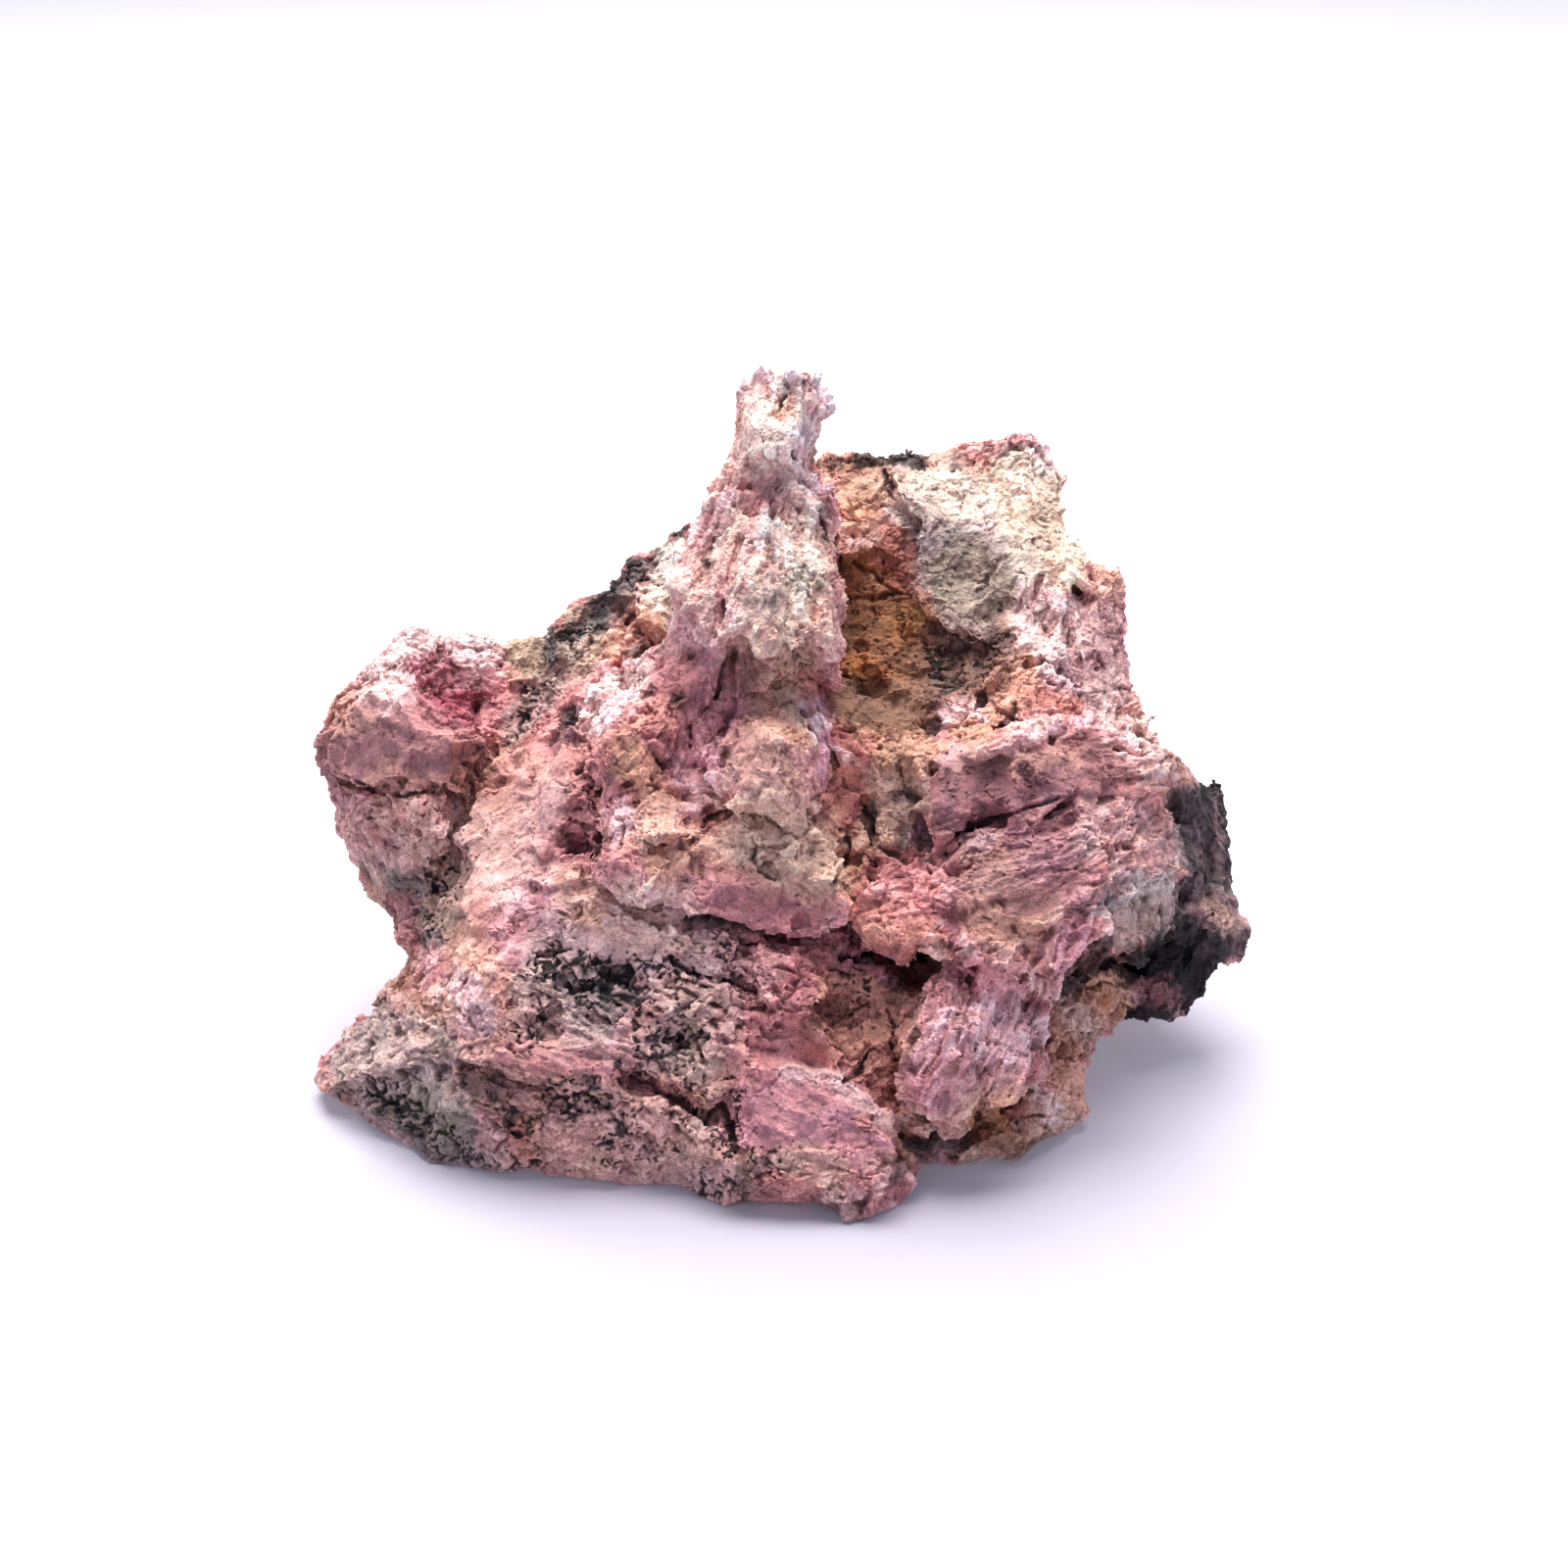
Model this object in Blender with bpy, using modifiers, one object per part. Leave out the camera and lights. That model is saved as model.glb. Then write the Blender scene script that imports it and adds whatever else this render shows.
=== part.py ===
"""Inesite specimen: one broken lump of massive pink inesite with its black and rusty matrix.

The lump formed as one piece, so it is one solid. Its blocks are laid out on a drawing of its front,
as an eye sees it from a little above, and a corner of a block is written as
(millimetres right of the middle, millimetres up, millimetres nearer to the eye).
The blocks are fused, opened by slits and hollows, chipped like broken stone, and cut flat where it rests.
"""

import itertools
import math

import bmesh
import bpy
import numpy as np

MM = 0.001

# The drawing that the blocks are laid out on
EYE_TILT = math.radians(25)
EYE_DISTANCE = 213.0
MIDDLE_HEIGHT = 24.0

# How the fused stone is worked, in mm
BACK_TAPER = 0.012
FUSE_VOXEL = 0.6
FINISH_VOXEL = 0.54
CHIPS = (
    {"size": 7.0, "depth": 0.8, "seed": 11},
    {"size": 3.2, "depth": 0.6, "seed": 29},
)
MOST_TRIANGLES = 10600
FLOOR_CUTTER_SIDE = 160.0

STONE_PINK = (0.52, 0.27, 0.26, 1.0)
STONE_ROUGHNESS = 0.85

# Each block of the front: how far it runs back into the stone, and its corners on the drawing
FRONT_BLOCKS = {
    "left foot": (14, [
        (-38.2, -24.4, -1), (-36.2, -21.2, -3), (-33, -17.6, -3), (-29.2, -14.4, -1), (-27, -13, 4),
        (-34.6, -24.4, 2), (-30.8, -22.8, 7), (-27.3, -21.6, 12), (-37.4, -26.4, 0.5), (-35, -27.6, 2),
        (-31.2, -29.2, 5), (-28, -31, 7), (-25, -31.6, 8.5), (-22, -30.8, 9),
    ]),
    "lower front": (20, [
        (-29.4, -13.3, 3.4), (-19, -7.2, 8), (-10.5, -10, 10), (-27.3, -21.6, 12), (-18.5, -24.2, 13.5),
        (-12, -26, 13.8), (-11, -13, 11), (-26, -31.2, 8.5), (-14, -32.2, 10), (-10, -33.4, 11),
    ]),
    "front right": (22, [
        (-11, -12, 11), (-3.5, -13, 11.5), (-1, -19, 12.5), (6, -24, 12), (9, -27.6, 13.5),
        (8.2, -32, 15), (8.6, -35.4, 14.8), (6, -35.9, 14.6), (-5, -29.5, 15), (-12, -26, 13.8),
        (-10, -33.4, 11), (-2, -34.4, 12.5),
    ]),
    "right recess": (14, [
        (-1, -12, 8), (9, -13, 6), (10.5, -17, 6), (10, -24, 8), (8.5, -28, 12), (0, -20, 10.5), (3, -26, 12.5),
    ]),
    "right side": (12, [
        (8, -27, 12), (12.5, -26.5, 8), (12, -28.5, 7), (9, -31.5, 10), (8.6, -35, 13), (10, -29, 11),
    ]),
    "shoulder": (20, [
        (-21, 12, -10), (-13, 12.6, -9), (-15, 6, -3), (-17.8, -0.5, 4), (-18.8, -7.4, 8.2),
        (-24.5, -14, 9.5), (-29.2, -13.6, 3.6), (-27, -6, 1.5), (-23.5, 3, -4),
    ]),
    "left lobe": (20, [
        (-34, 9.4, -5), (-32, 10.8, -6), (-29.6, 11.8, -6), (-25.6, 11.2, -7), (-22.4, 11.4, -9),
        (-38.2, 5, -5), (-37.8, 1.6, -4.4), (-36.8, -3.6, -4), (-35.6, -7, -3), (-32.6, -10.8, -2.5),
        (-30.2, -14, -1), (-34.5, 3, 0.5), (-28, 0.5, 2.5), (-24.5, 2, 0), (-30, -2, 2.5), (-27.5, -10, 3.5),
    ]),
    "lobe brow": (8, [
        (-36.5, 4.4, -2), (-33, 5, 2.2), (-28, 3, 4), (-24.6, 2.2, 1.5), (-25.5, 5.5, 0.5), (-31, 8, 0),
        (-34, 8, -2), (-30, 1.2, 3.6), (-35.5, 2, -0.5),
    ]),
    "low left crest": (14, [
        (-22, 11, -9), (-19.8, 12.6, -11), (-17.4, 12, -11), (-15, 12.6, -12), (-12, 12, -8),
        (-13, 9, -6.5), (-19, 8, -7),
    ]),
    "high left crest": (10, [
        (-15.2, 12.8, -12), (-13.4, 17, -12.5), (-10.8, 19.6, -12.5), (-9.4, 20.5, -12.5), (-7.6, 20.8, -11.5),
        (-6, 17, -6), (-8, 12, -6), (-12.4, 11, -7),
    ]),
    "heart": (24, [
        (-15.5, -6.5, 7), (-11, -9, 9), (0, -12, 10.5), (5.6, -8.5, 8.5), (6, -3, 5.5), (4.4, 4, 2),
        (3, 9, 0), (2, 16, -1), (-5, 16, 0), (-9, 10, 1), (-14, 3, 2), (-15.4, 0, 4.5), (-3, 4, 7.5), (-4, -3, 10),
    ]),
    "left shoulder lump": (12, [
        (-14.8, 8.6, 0), (-12, 9.6, 1), (-9.4, 8.4, 3), (-8.2, 4, 6), (-8.8, -0.6, 8), (-13.6, -2.6, 8.5),
        (-16.4, -0.4, 6.5), (-15.4, 4.4, 4.5), (-11.5, 3.6, 8),
    ]),
    "low left lump": (10, [
        (-14.4, -3.6, 9.5), (-11.4, -2, 11), (-7.4, -3, 10.5), (-4.6, -6.6, 11), (-6.6, -9.6, 11.5),
        (-10.6, -8.4, 12), (-13.8, -6.6, 10.5),
    ]),
    "low left shelf": (12, [
        (-19, -7, 8.5), (-15, -7.4, 10), (-11.5, -8.6, 11.5), (-6, -11, 12), (-1.5, -13, 12), (-8, -14, 12),
        (-17, -12, 11),
    ]),
    "boulder": (12, [
        (-4.4, 4.4, 7), (-0.5, 7, 6), (2.4, 6.4, 6), (3.6, 2.6, 8), (2.8, -1.2, 11), (-1, -1.8, 12.4),
        (-4.6, 0.4, 10.4), (-0.5, 2.6, 12.4),
    ]),
    "tan plane": (10, [
        (-5, -2, 9.5), (1, -1.6, 10.2), (4.4, -4.8, 9.8), (5.8, -8, 9.4), (3.6, -10.6, 10.8), (-1.6, -10.4, 12.2),
        (-6.4, -8.6, 12),
    ]),
    "spire head": (6, [
        (-3, 32, 4.6), (-1.4, 33.6, 5), (0.6, 34.2, 5.4), (2.2, 33.8, 5.2), (3.3, 32.4, 4.8), (3.5, 30.8, 4.6),
        (2.4, 28.8, 5), (-3, 29.4, 5), (0.2, 31, 7.8), (1.2, 29.6, 7.4),
    ]),
    "spire neck": (7, [
        (-3.1, 30, 5), (2, 29.6, 5), (1.3, 28, 5), (1.6, 25.4, 6), (-3.4, 28, 5.4), (-4.4, 25, 6),
        (-0.8, 29, 8.2), (-0.8, 25.6, 8.8), (-2, 27, 8.6),
    ]),
    "spire body": (10, [
        (-4.4, 25, 6.4), (2, 26, 6), (3.9, 24, 5), (4.2, 19, 5), (4.4, 15.6, 6), (-6.4, 21.6, 4),
        (-7.6, 17.4, 4.4), (-8.4, 13.8, 6), (-5, 14, 9.4), (0, 14, 10.4), (-2, 19, 10), (-4.4, 22, 8),
    ]),
    "spire skirt": (5, [
        (-9.6, 13.4, 6.8), (-6.4, 12.2, 9.2), (-4.8, 10.8, 10), (-3, 10.6, 10.4), (0, 10.8, 11), (2.8, 12.2, 9.8),
        (4.8, 14.6, 8), (4, 18, 8.8), (-2, 19, 10.6), (-8, 17, 7.2), (2.4, 10.2, 9.2),
    ]),
    "skirt left": (4, [
        (-9.6, 14.4, 5.6), (-10.4, 11.4, 5.4), (-9, 9.8, 5.4), (-7, 11.8, 7), (-7, 14.6, 7.4),
    ]),
    "spire root": (12, [
        (-8.4, 13, 4.6), (4, 13, 4), (3.4, 9, 4), (2.2, 6, 5), (-4.6, 5, 6), (-8, 8, 5), (-2, 9.4, 7.4),
    ]),
    "step": (8, [
        (-11.6, 8.2, 4), (-10.4, 10.8, 3.4), (-7.4, 12.4, 4.4), (-5.2, 11.4, 6.4), (-5.4, 8.2, 7.4),
        (-7, 6.2, 7.8), (-10.8, 6.4, 6), (-8.2, 8.8, 7.6),
    ]),
    "upper right block": (9, [
        (8, 25.8, -12.5), (12, 27.2, -14), (16, 27.9, -15), (20.4, 28.4, -15), (22.7, 25.9, -14),
        (22.5, 21.6, -11.5), (23.5, 18, -9), (22.6, 13, -5), (12, 8, -5), (10, 12, -7.5), (11.5, 19, -8.5),
        (19, 20, -8),
    ]),
    "back crest": (9, [
        (2.2, 27, -14), (3.4, 27.2, -14.5), (7, 27.2, -15), (11, 27.2, -15), (12, 8, -8), (4, 4, -6), (2.6, 12, -9),
        (8, 18, -12), (10, 22, -13),
    ]),
    "right pink block": (14, [
        (20.4, 16.6, -6.5), (23.6, 17.7, -7.5), (26.4, 18, -8), (28, 17.4, -8.5), (28.3, 15.4, -8), (28.1, 11, -7),
        (27.9, 6.4, -5),
        (22, 5, -1), (18.8, 11, -3.4), (22.6, 11, -3.6),
    ]),
    "mound": (14, [
        (12.6, 5.4, -0.5), (16.4, 9.6, -2), (19.6, 11.4, -2), (22.8, 10.6, -3), (25.6, 5.6, -1.5),
        (24.8, 2, 3), (18, 2.6, 6), (12.6, 1.8, 5), (19, 7.4, 2.6),
    ]),
    "right tuft": (8, [
        (24.6, 6, -3.4), (28.4, 7.2, -5), (30, 6.4, -5), (29.6, 4, -4.6), (30.4, 1, -2.6), (27, -0.4, 2), (25, 2, 1),
    ]),
    "slab": (13, [
        (12.6, 1.6, 6.6), (17.6, 3.2, 8), (22.6, 4.2, 6.4), (27.4, 2.4, 4), (30, 0.4, 2), (28.4, -1.8, 5),
        (20.6, -0.8, 9.6), (14.8, -3.8, 9.8), (11.4, -2.4, 8.4),
    ]),
    "scooped lump": (14, [
        (6.8, -8.6, 9), (10.6, -5.8, 8.6), (16.4, -4.6, 9.4), (22, -2.6, 9), (26, -2.4, 7.4), (27.4, -6, 7.6),
        (25.6, -11.6, 9.4), (23.4, -15.4, 9), (15.4, -15.4, 10.4), (9.4, -13.4, 12), (7, -12, 11.6),
        (17, -8.8, 13), (22, -8, 12),
    ]),
    "ribbed wing": (10, [
        (25, -2.4, 5), (30.8, -1.8, 1.6), (31.6, -5.8, 1.6), (29.6, -8.8, 3.4), (25, -11.6, 7), (25.4, -6, 7.8),
    ]),
    "pink block": (8, [
        (12.8, -15.8, 10.4), (17, -16, 12.4), (21.2, -16.8, 11), (21.8, -19.4, 10), (21.4, -22.6, 10),
        (17.8, -25.4, 12), (14, -27.4, 13), (11, -26.6, 13.8), (10.2, -24.6, 13.6), (9.8, -21, 13),
        (11.2, -17.4, 12), (15, -20.6, 15.6),
    ]),
    "middle lump": (8, [
        (-3, -13, 11.4), (1.4, -13.6, 11), (4, -16.4, 11), (1.2, -19.6, 13), (-1.2, -18, 13.6), (-3, -15.6, 12.4),
    ]),
    "slit shelf": (12, [
        (2, -12.6, 8), (9, -12, 6), (12, -13.5, 4), (11, -17, 5), (5, -15.4, 8.6), (9, -14.6, 8),
    ]),
    "behind the slit": (16, [
        (2, -6, 3), (12, -3, 3), (26, -3, 1), (22, -18, 2), (10, -18, 2), (24, 4, -4), (8, 4, -4),
    ]),
    "grey wedge": (8, [
        (24.4, -9.6, 4), (29, -7.4, 2), (32, -6.8, -0.4), (32.2, -9.8, 0), (30.4, -13, 1.4), (26.4, -14.4, 2.4),
        (24, -12.6, 4),
    ]),
    "black top": (9, [
        (30, 1.2, -7.5), (32.4, 1, -8.5), (36.4, -0.3, -8.5), (36.3, -2.6, -7.4), (36.7, -7, -6.4), (36.5, -10, -5.8),
        (31, -11.4, -3), (29.4, -5, -3.4), (32.6, -4, -4.4),
    ]),
    "black knob": (7, [
        (32.4, -9.2, -3), (36.4, -9.6, -4.4), (37.9, -11.4, -5), (36.6, -13.9, -5), (32, -14.1, -2.6), (30, -12, -2),
        (34, -11.4, -2.6),
    ]),
    "black foot": (7, [
        (29.6, -14, -5.5), (34.4, -14.4, -6), (34, -18.2, -5), (29.8, -19.4, -3.4), (26, -18.2, -2.4),
        (26, -14, -4.6),
    ]),
    "black back": (8, [
        (25, -4, -4), (31, -3, -8), (34, -12, -9), (32.6, -17, -9), (26, -17, -6),
    ]),
    "rusty neck": (8, [
        (22, -12.6, 3), (25.6, -12.6, 2.4), (27.2, -16.6, -1), (27, -19.4, -2), (24.4, -22.6, 0), (21, -22, 4),
        (20.6, -17, 5), (23.8, -17.4, 3.4),
    ]),
    "rusty foot": (9, [
        (11.6, -27, 7), (17, -25, 7.4), (22, -22.4, 4), (24.6, -23.6, 2.4), (25.2, -25.4, 2.4), (24.2, -27.6, 4),
        (21.4, -30.4, 6.6), (17.4, -32, 9), (14.4, -31.2, 8.8), (12, -29.6, 7.6), (18.6, -28, 9.4),
    ]),
    "brown corner": (8, [
        (9, -28.5, 6), (12, -28.5, 5), (11.4, -31.4, 6.4), (9, -31.6, 8),
    ]),
}

# The hidden body and back, in the stone's own frame: right, away and up, in mm
BODY_BLOCKS = {
    "core": [
        (-24, -6, -2), (-12, -19, -2), (5, -21, -2), (14, -12, -2), (20, 10, -2), (8, 25, -2), (-14, 20, -2),
        (-25, 8, -2), (-19, -2, 22), (0, -6, 30), (20, -2, 26), (20, 12, 30), (0, 20, 34), (-18, 16, 26),
    ],
    "back left": [
        (-30, 4, 6), (-33, 8, 14), (-30, 14, 8), (-20, 24, 3), (-6, 27, 2), (-27, 12, 26), (-20, 20, 26),
        (-8, 26, 28), (-16, 17, 34), (-8, 20, 38), (-4, 12, 30), (-4, 10, 4),
    ],
    "back middle": [
        (-8, 26, 3), (4, 31, 6), (16, 29, 4), (2, 30, 24), (12, 30, 28), (-4, 24, 36), (6, 27, 42),
        (14, 26, 44), (18, 24, 30), (0, 10, 4), (14, 10, 4), (2, 14, 38),
    ],
    "back right": [
        (14, 28, 4), (23, 22, 8), (25, 12, 10), (22, 28, 22), (27, 14, 24), (20, 31, 37), (24, 18, 34),
        (6, 32, 35), (10, 10, 6), (12, 8, 30), (18, 27, 41), (6, 28, 40),
    ],
    "back ledge": [
        (-6, 26, 14), (6, 34, 16), (13, 35, 18), (20, 31, 20), (16, 32, 30), (6, 33, 27), (-4, 28, 24), (14, 28, 14),
        (0, 20, 14), (0, 20, 28),
    ],
    "back foot": [
        (-16, 14, -2), (-10, 24, -2), (6, 29, -2), (16, 24, -2), (18, 14, -2), (14, 27, 8), (-12, 24, 9),
        (2, 30, 10), (0, 8, 12),
    ],
}

# The slits and hollows that open the front, as blocks that are cut away
HOLLOWS = {
    "slit under the slab": (11, [
        (14.2, -3.9, 14), (15.4, -3.1, 14), (19.2, -1.6, 14), (23.4, -0.7, 14), (19.6, -2.9, 14), (15.4, -4.4, 14),
    ]),
    "dark cave": (11, [
        (9.6, -13.2, 14), (12.4, -12.8, 14), (14, -15, 14), (12.6, -16, 14), (8.6, -15.4, 14), (6, -14.4, 14),
    ]),
    "rose hollow": (6, [
        (-29, 10, 1), (-24.6, 10.4, 1), (-23, 6.4, 1), (-26, 4.8, 2), (-28.4, 6.6, 2),
    ]),
    "valley": (4.4, [
        (-25, 4.8, 0), (-24, 3.6, 0.4), (-26.4, -3, 3.4), (-28, -9.4, 4.4), (-29.6, -11.6, 4.4),
        (-30.6, -10, 3.6), (-28.8, -4.6, 3.4), (-27, -0.4, 2.6),
    ]),
    "crack by the step": (4, [
        (-4.6, 8.8, 12), (-3.8, 8.6, 12), (-4.8, 5.6, 12), (-8, 4.6, 12), (-9, 5.4, 12), (-5.6, 6.4, 12),
    ]),
    "alcove": (9, [
        (-18.8, -2.6, 14), (-17.6, -1.4, 14), (-15.6, -2.6, 14), (-14.4, -5, 14), (-12.8, -7, 14),
        (-14.4, -7.8, 14), (-18, -6.4, 14),
    ]),
    "black cave": (6, [
        (25.8, -13.4, 4), (30.6, -13.2, 4), (33, -14, 4), (32, -15.6, 4), (26.4, -16.6, 4),
    ]),
    "rusty cave": (4, [
        (21.6, -14.6, 8), (23, -14, 8), (24, -17.4, 8), (22.8, -18.4, 8),
    ]),
}


def on_drawing(right, up, near):
    """A point of the front drawing, in metres in the stone's frame: x right, y away and z up."""
    nearer_is_larger = 1 - near / EYE_DISTANCE
    across = right * nearer_is_larger
    rise = up * nearer_is_larger
    away = rise * math.sin(EYE_TILT) - near * math.cos(EYE_TILT)
    height = MIDDLE_HEIGHT + rise * math.cos(EYE_TILT) + near * math.sin(EYE_TILT)
    return (across * MM, away * MM, height * MM)


def new_collection(name):
    collection = bpy.data.collections.new(name)
    bpy.context.scene.collection.children.link(collection)
    return collection


def hull_object(name, corners, collection):
    """A block whose corners are these points."""
    mesh = bpy.data.meshes.new(name)
    shell = bmesh.new()
    for corner in corners:
        shell.verts.new(corner)
    made = bmesh.ops.convex_hull(shell, input=shell.verts)
    unused = [item for item in made["geom_interior"] if isinstance(item, bmesh.types.BMVert)]
    bmesh.ops.delete(shell, geom=unused, context="VERTS")
    bmesh.ops.recalc_face_normals(shell, faces=shell.faces)
    shell.to_mesh(mesh)
    shell.free()
    block = bpy.data.objects.new(name, mesh)
    collection.objects.link(block)
    return block


def drawn_block(name, reach, corners, collection):
    """A block of the drawing that runs back from its front corners, away from the eye."""
    kept = 1 - BACK_TAPER * reach
    front = [on_drawing(right, up, near) for right, up, near in corners]
    back = [on_drawing(right * kept, up * kept, near - reach) for right, up, near in corners]
    return hull_object(name, front + back, collection)


def hide_tools(collection):
    """Cutters and raw blocks aren't part of the model."""
    for tool in collection.objects:
        tool.hide_render = True
        tool.display_type = "WIRE"


def settle(stone):
    """The stone's modifiers are made its real mesh."""
    graph = bpy.context.evaluated_depsgraph_get()
    mesh = bpy.data.meshes.new_from_object(stone.evaluated_get(graph))
    stone.modifiers.clear()
    stone.data = mesh


def join_blocks(blocks, name):
    """All the blocks in one mesh, each still a shell of its own."""
    joined = bmesh.new()
    for block in blocks:
        joined.from_mesh(block.data)
    mesh = bpy.data.meshes.new(name)
    joined.to_mesh(mesh)
    joined.free()
    return mesh


def fuse(stone, voxel):
    """One skin over all the shells, in squares of about one voxel."""
    remesh = stone.modifiers.new("fuse", "REMESH")
    remesh.mode = "VOXEL"
    remesh.voxel_size = voxel * MM
    settle(stone)


def cut_away(stone, collection):
    cut = stone.modifiers.new("cut " + collection.name, "BOOLEAN")
    cut.operation = "DIFFERENCE"
    cut.operand_type = "COLLECTION"
    cut.collection = collection
    settle(stone)


def cell_value(cell, seed):
    """A repeatable number from 0 to 1 for each whole-numbered cell of space."""
    mixed = cell[:, 0] * 73856093 ^ cell[:, 1] * 19349663 ^ cell[:, 2] * 83492791 ^ seed * 6542989
    mixed = (mixed ^ (mixed >> 13)) * 1274126177
    return ((mixed ^ (mixed >> 16)) & 0xFFFFFF) / 0xFFFFFF


def three_values(cell, seed):
    return np.stack([cell_value(cell, seed + axis) for axis in range(3)], axis=1)


def chip_heights(points, size, seed):
    """How far broken faces stand out: each cell of the stone has a tilted plane of its own."""
    scaled = points / size
    home = np.floor(scaled).astype(np.int64)
    nearest = np.full(len(points), np.inf)
    heights = np.zeros(len(points))
    for step in itertools.product((-1, 0, 1), repeat=3):
        cell = home + np.array(step)
        offset = scaled - cell - three_values(cell, seed)
        distance = (offset**2).sum(axis=1)
        tilt = three_values(cell, seed + 3) * 2 - 1
        level = cell_value(cell, seed + 6) - 0.5
        closer = distance < nearest
        heights = np.where(closer, (offset * tilt).sum(axis=1) + level, heights)
        nearest = np.where(closer, distance, nearest)
    return heights


def chip(stone, size, depth, seed):
    """Moves the surface in or out along its normals, in flat chips."""
    count = len(stone.data.vertices)
    points = np.empty(count * 3)
    normals = np.empty(count * 3)
    stone.data.vertices.foreach_get("co", points)
    stone.data.vertices.foreach_get("normal", normals)
    points = points.reshape(-1, 3)
    normals = normals.reshape(-1, 3)
    moves = chip_heights(points / MM, size, seed) * depth * MM
    stone.data.vertices.foreach_set("co", (points + normals * moves[:, None]).ravel())
    stone.data.update()


def simplify(stone, most):
    triangles = sum(len(face.vertices) - 2 for face in stone.data.polygons)
    fewer = stone.modifiers.new("simplify", "DECIMATE")
    fewer.ratio = most / triangles
    fewer.use_collapse_triangulate = True
    settle(stone)


def keep_largest_body(stone):
    """Crumbs that the fusing or a cut left loose are dropped."""
    mesh = bmesh.new()
    mesh.from_mesh(stone.data)
    unseen = set(mesh.verts)
    bodies = []
    while unseen:
        front = [unseen.pop()]
        body = set(front)
        while front:
            vertex = front.pop()
            for edge in vertex.link_edges:
                other = edge.other_vert(vertex)
                if other in unseen:
                    unseen.discard(other)
                    body.add(other)
                    front.append(other)
        bodies.append(body)
    bodies.sort(key=len)
    for body in bodies[:-1]:
        bmesh.ops.delete(mesh, geom=list(body), context="VERTS")
    mesh.to_mesh(stone.data)
    mesh.free()


def floor_cutter(collection):
    """A slab of everything below the plane that the stone rests on, which is z = 0."""
    half = FLOOR_CUTTER_SIDE / 2 * MM
    corners = itertools.product((-half, half), (-half, half), (-half, 0))
    return hull_object("floor", list(corners), collection)


def stone_material():
    material = bpy.data.materials.new("broken_inesite")
    material.use_nodes = True
    shader = material.node_tree.nodes["Principled BSDF"]
    shader.inputs["Base Color"].default_value = STONE_PINK
    shader.inputs["Roughness"].default_value = STONE_ROUGHNESS
    shader.inputs["Metallic"].default_value = 0.0
    return material


def build():
    for old in list(bpy.data.objects):
        bpy.data.objects.remove(old)

    specimen = new_collection("inesite specimen")
    raw_blocks = new_collection("raw blocks")
    hollows = new_collection("hollows")
    floor = new_collection("floor cut")

    for name, (reach, corners) in FRONT_BLOCKS.items():
        drawn_block(name, reach, corners, raw_blocks)
    for name, corners in BODY_BLOCKS.items():
        hull_object(name, [(x * MM, y * MM, z * MM) for x, y, z in corners], raw_blocks)
    for name, (reach, corners) in HOLLOWS.items():
        drawn_block(name, reach, corners, hollows)
    floor_cutter(floor)

    stone = bpy.data.objects.new("inesite_specimen", join_blocks(raw_blocks.objects, "inesite_specimen"))
    specimen.objects.link(stone)
    fuse(stone, FUSE_VOXEL)
    cut_away(stone, hollows)
    for chips in CHIPS:
        chip(stone, **chips)
    fuse(stone, FINISH_VOXEL)
    simplify(stone, MOST_TRIANGLES)
    cut_away(stone, floor)
    keep_largest_body(stone)
    stone.data.materials.clear()
    stone.data.materials.append(stone_material())

    for tools in (raw_blocks, hollows, floor):
        hide_tools(tools)
    print("stone:", len(stone.data.polygons), "faces")
    return stone


build()
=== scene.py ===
# %% [markdown]
# # A lump of inesite
# Inesite is a manganese silicate that grows as bundles of silky pink fibres. This lump was broken out of its
# vein, so almost all of it is fracture: splintered bundles, chips, ledges and cracks. Air has turned the
# outside peach and tan, manganese oxide has painted parts of it black, and rusty matrix clings to the right.
#
# The CAD model has the main forms as one faceted solid. Here that solid gets its fine surface. A material
# alone can't do it, because the outline of a broken stone is as rough as its faces, so the surface is made
# as real mesh, sculpted in code: first the ledges and cracks that can be named, then the grain.

# %% Load the frame
import math

import bpy
import numpy as np
from mathutils import Matrix, Vector
from mathutils.bvhtree import BVHTree


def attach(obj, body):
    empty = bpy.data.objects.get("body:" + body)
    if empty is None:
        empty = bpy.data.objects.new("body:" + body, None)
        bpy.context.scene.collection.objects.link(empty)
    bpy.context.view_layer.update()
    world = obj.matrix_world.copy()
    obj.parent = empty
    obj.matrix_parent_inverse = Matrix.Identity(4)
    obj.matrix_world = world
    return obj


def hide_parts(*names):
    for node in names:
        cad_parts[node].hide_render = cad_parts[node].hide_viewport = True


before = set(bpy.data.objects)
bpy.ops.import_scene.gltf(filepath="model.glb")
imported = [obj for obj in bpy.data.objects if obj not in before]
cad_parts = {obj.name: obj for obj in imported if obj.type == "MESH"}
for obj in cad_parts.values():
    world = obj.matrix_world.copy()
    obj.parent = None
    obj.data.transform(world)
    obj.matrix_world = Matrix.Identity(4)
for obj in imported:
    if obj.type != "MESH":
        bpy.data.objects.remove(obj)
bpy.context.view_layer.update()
STONE = "inesite_specimen"
MM = 0.001

# %% [markdown]
# ## The eye
# Everything that can be seen on the specimen has a place in the photograph. One function turns a pixel into
# a line of sight, and the stone's own surface says where that line ends. A ledge or a stain can then be
# written as a few pixels, and still sits on the stone when it is seen from any side.

# %% The photograph's eye
PHOTO_SIDE = 1600
PIXEL = 0.08
EYE_TILT = math.radians(25)
EYE_DISTANCE = 213.0
MIDDLE = np.array((0.0, 0.0, 24.0))
RIGHT = np.array((1.0, 0.0, 0.0))
UP = np.array((0.0, math.sin(EYE_TILT), math.cos(EYE_TILT)))
NEAR = np.array((0.0, -math.cos(EYE_TILT), math.sin(EYE_TILT)))
EYE = MIDDLE + NEAR * EYE_DISTANCE
SENSOR = 36.0

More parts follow.
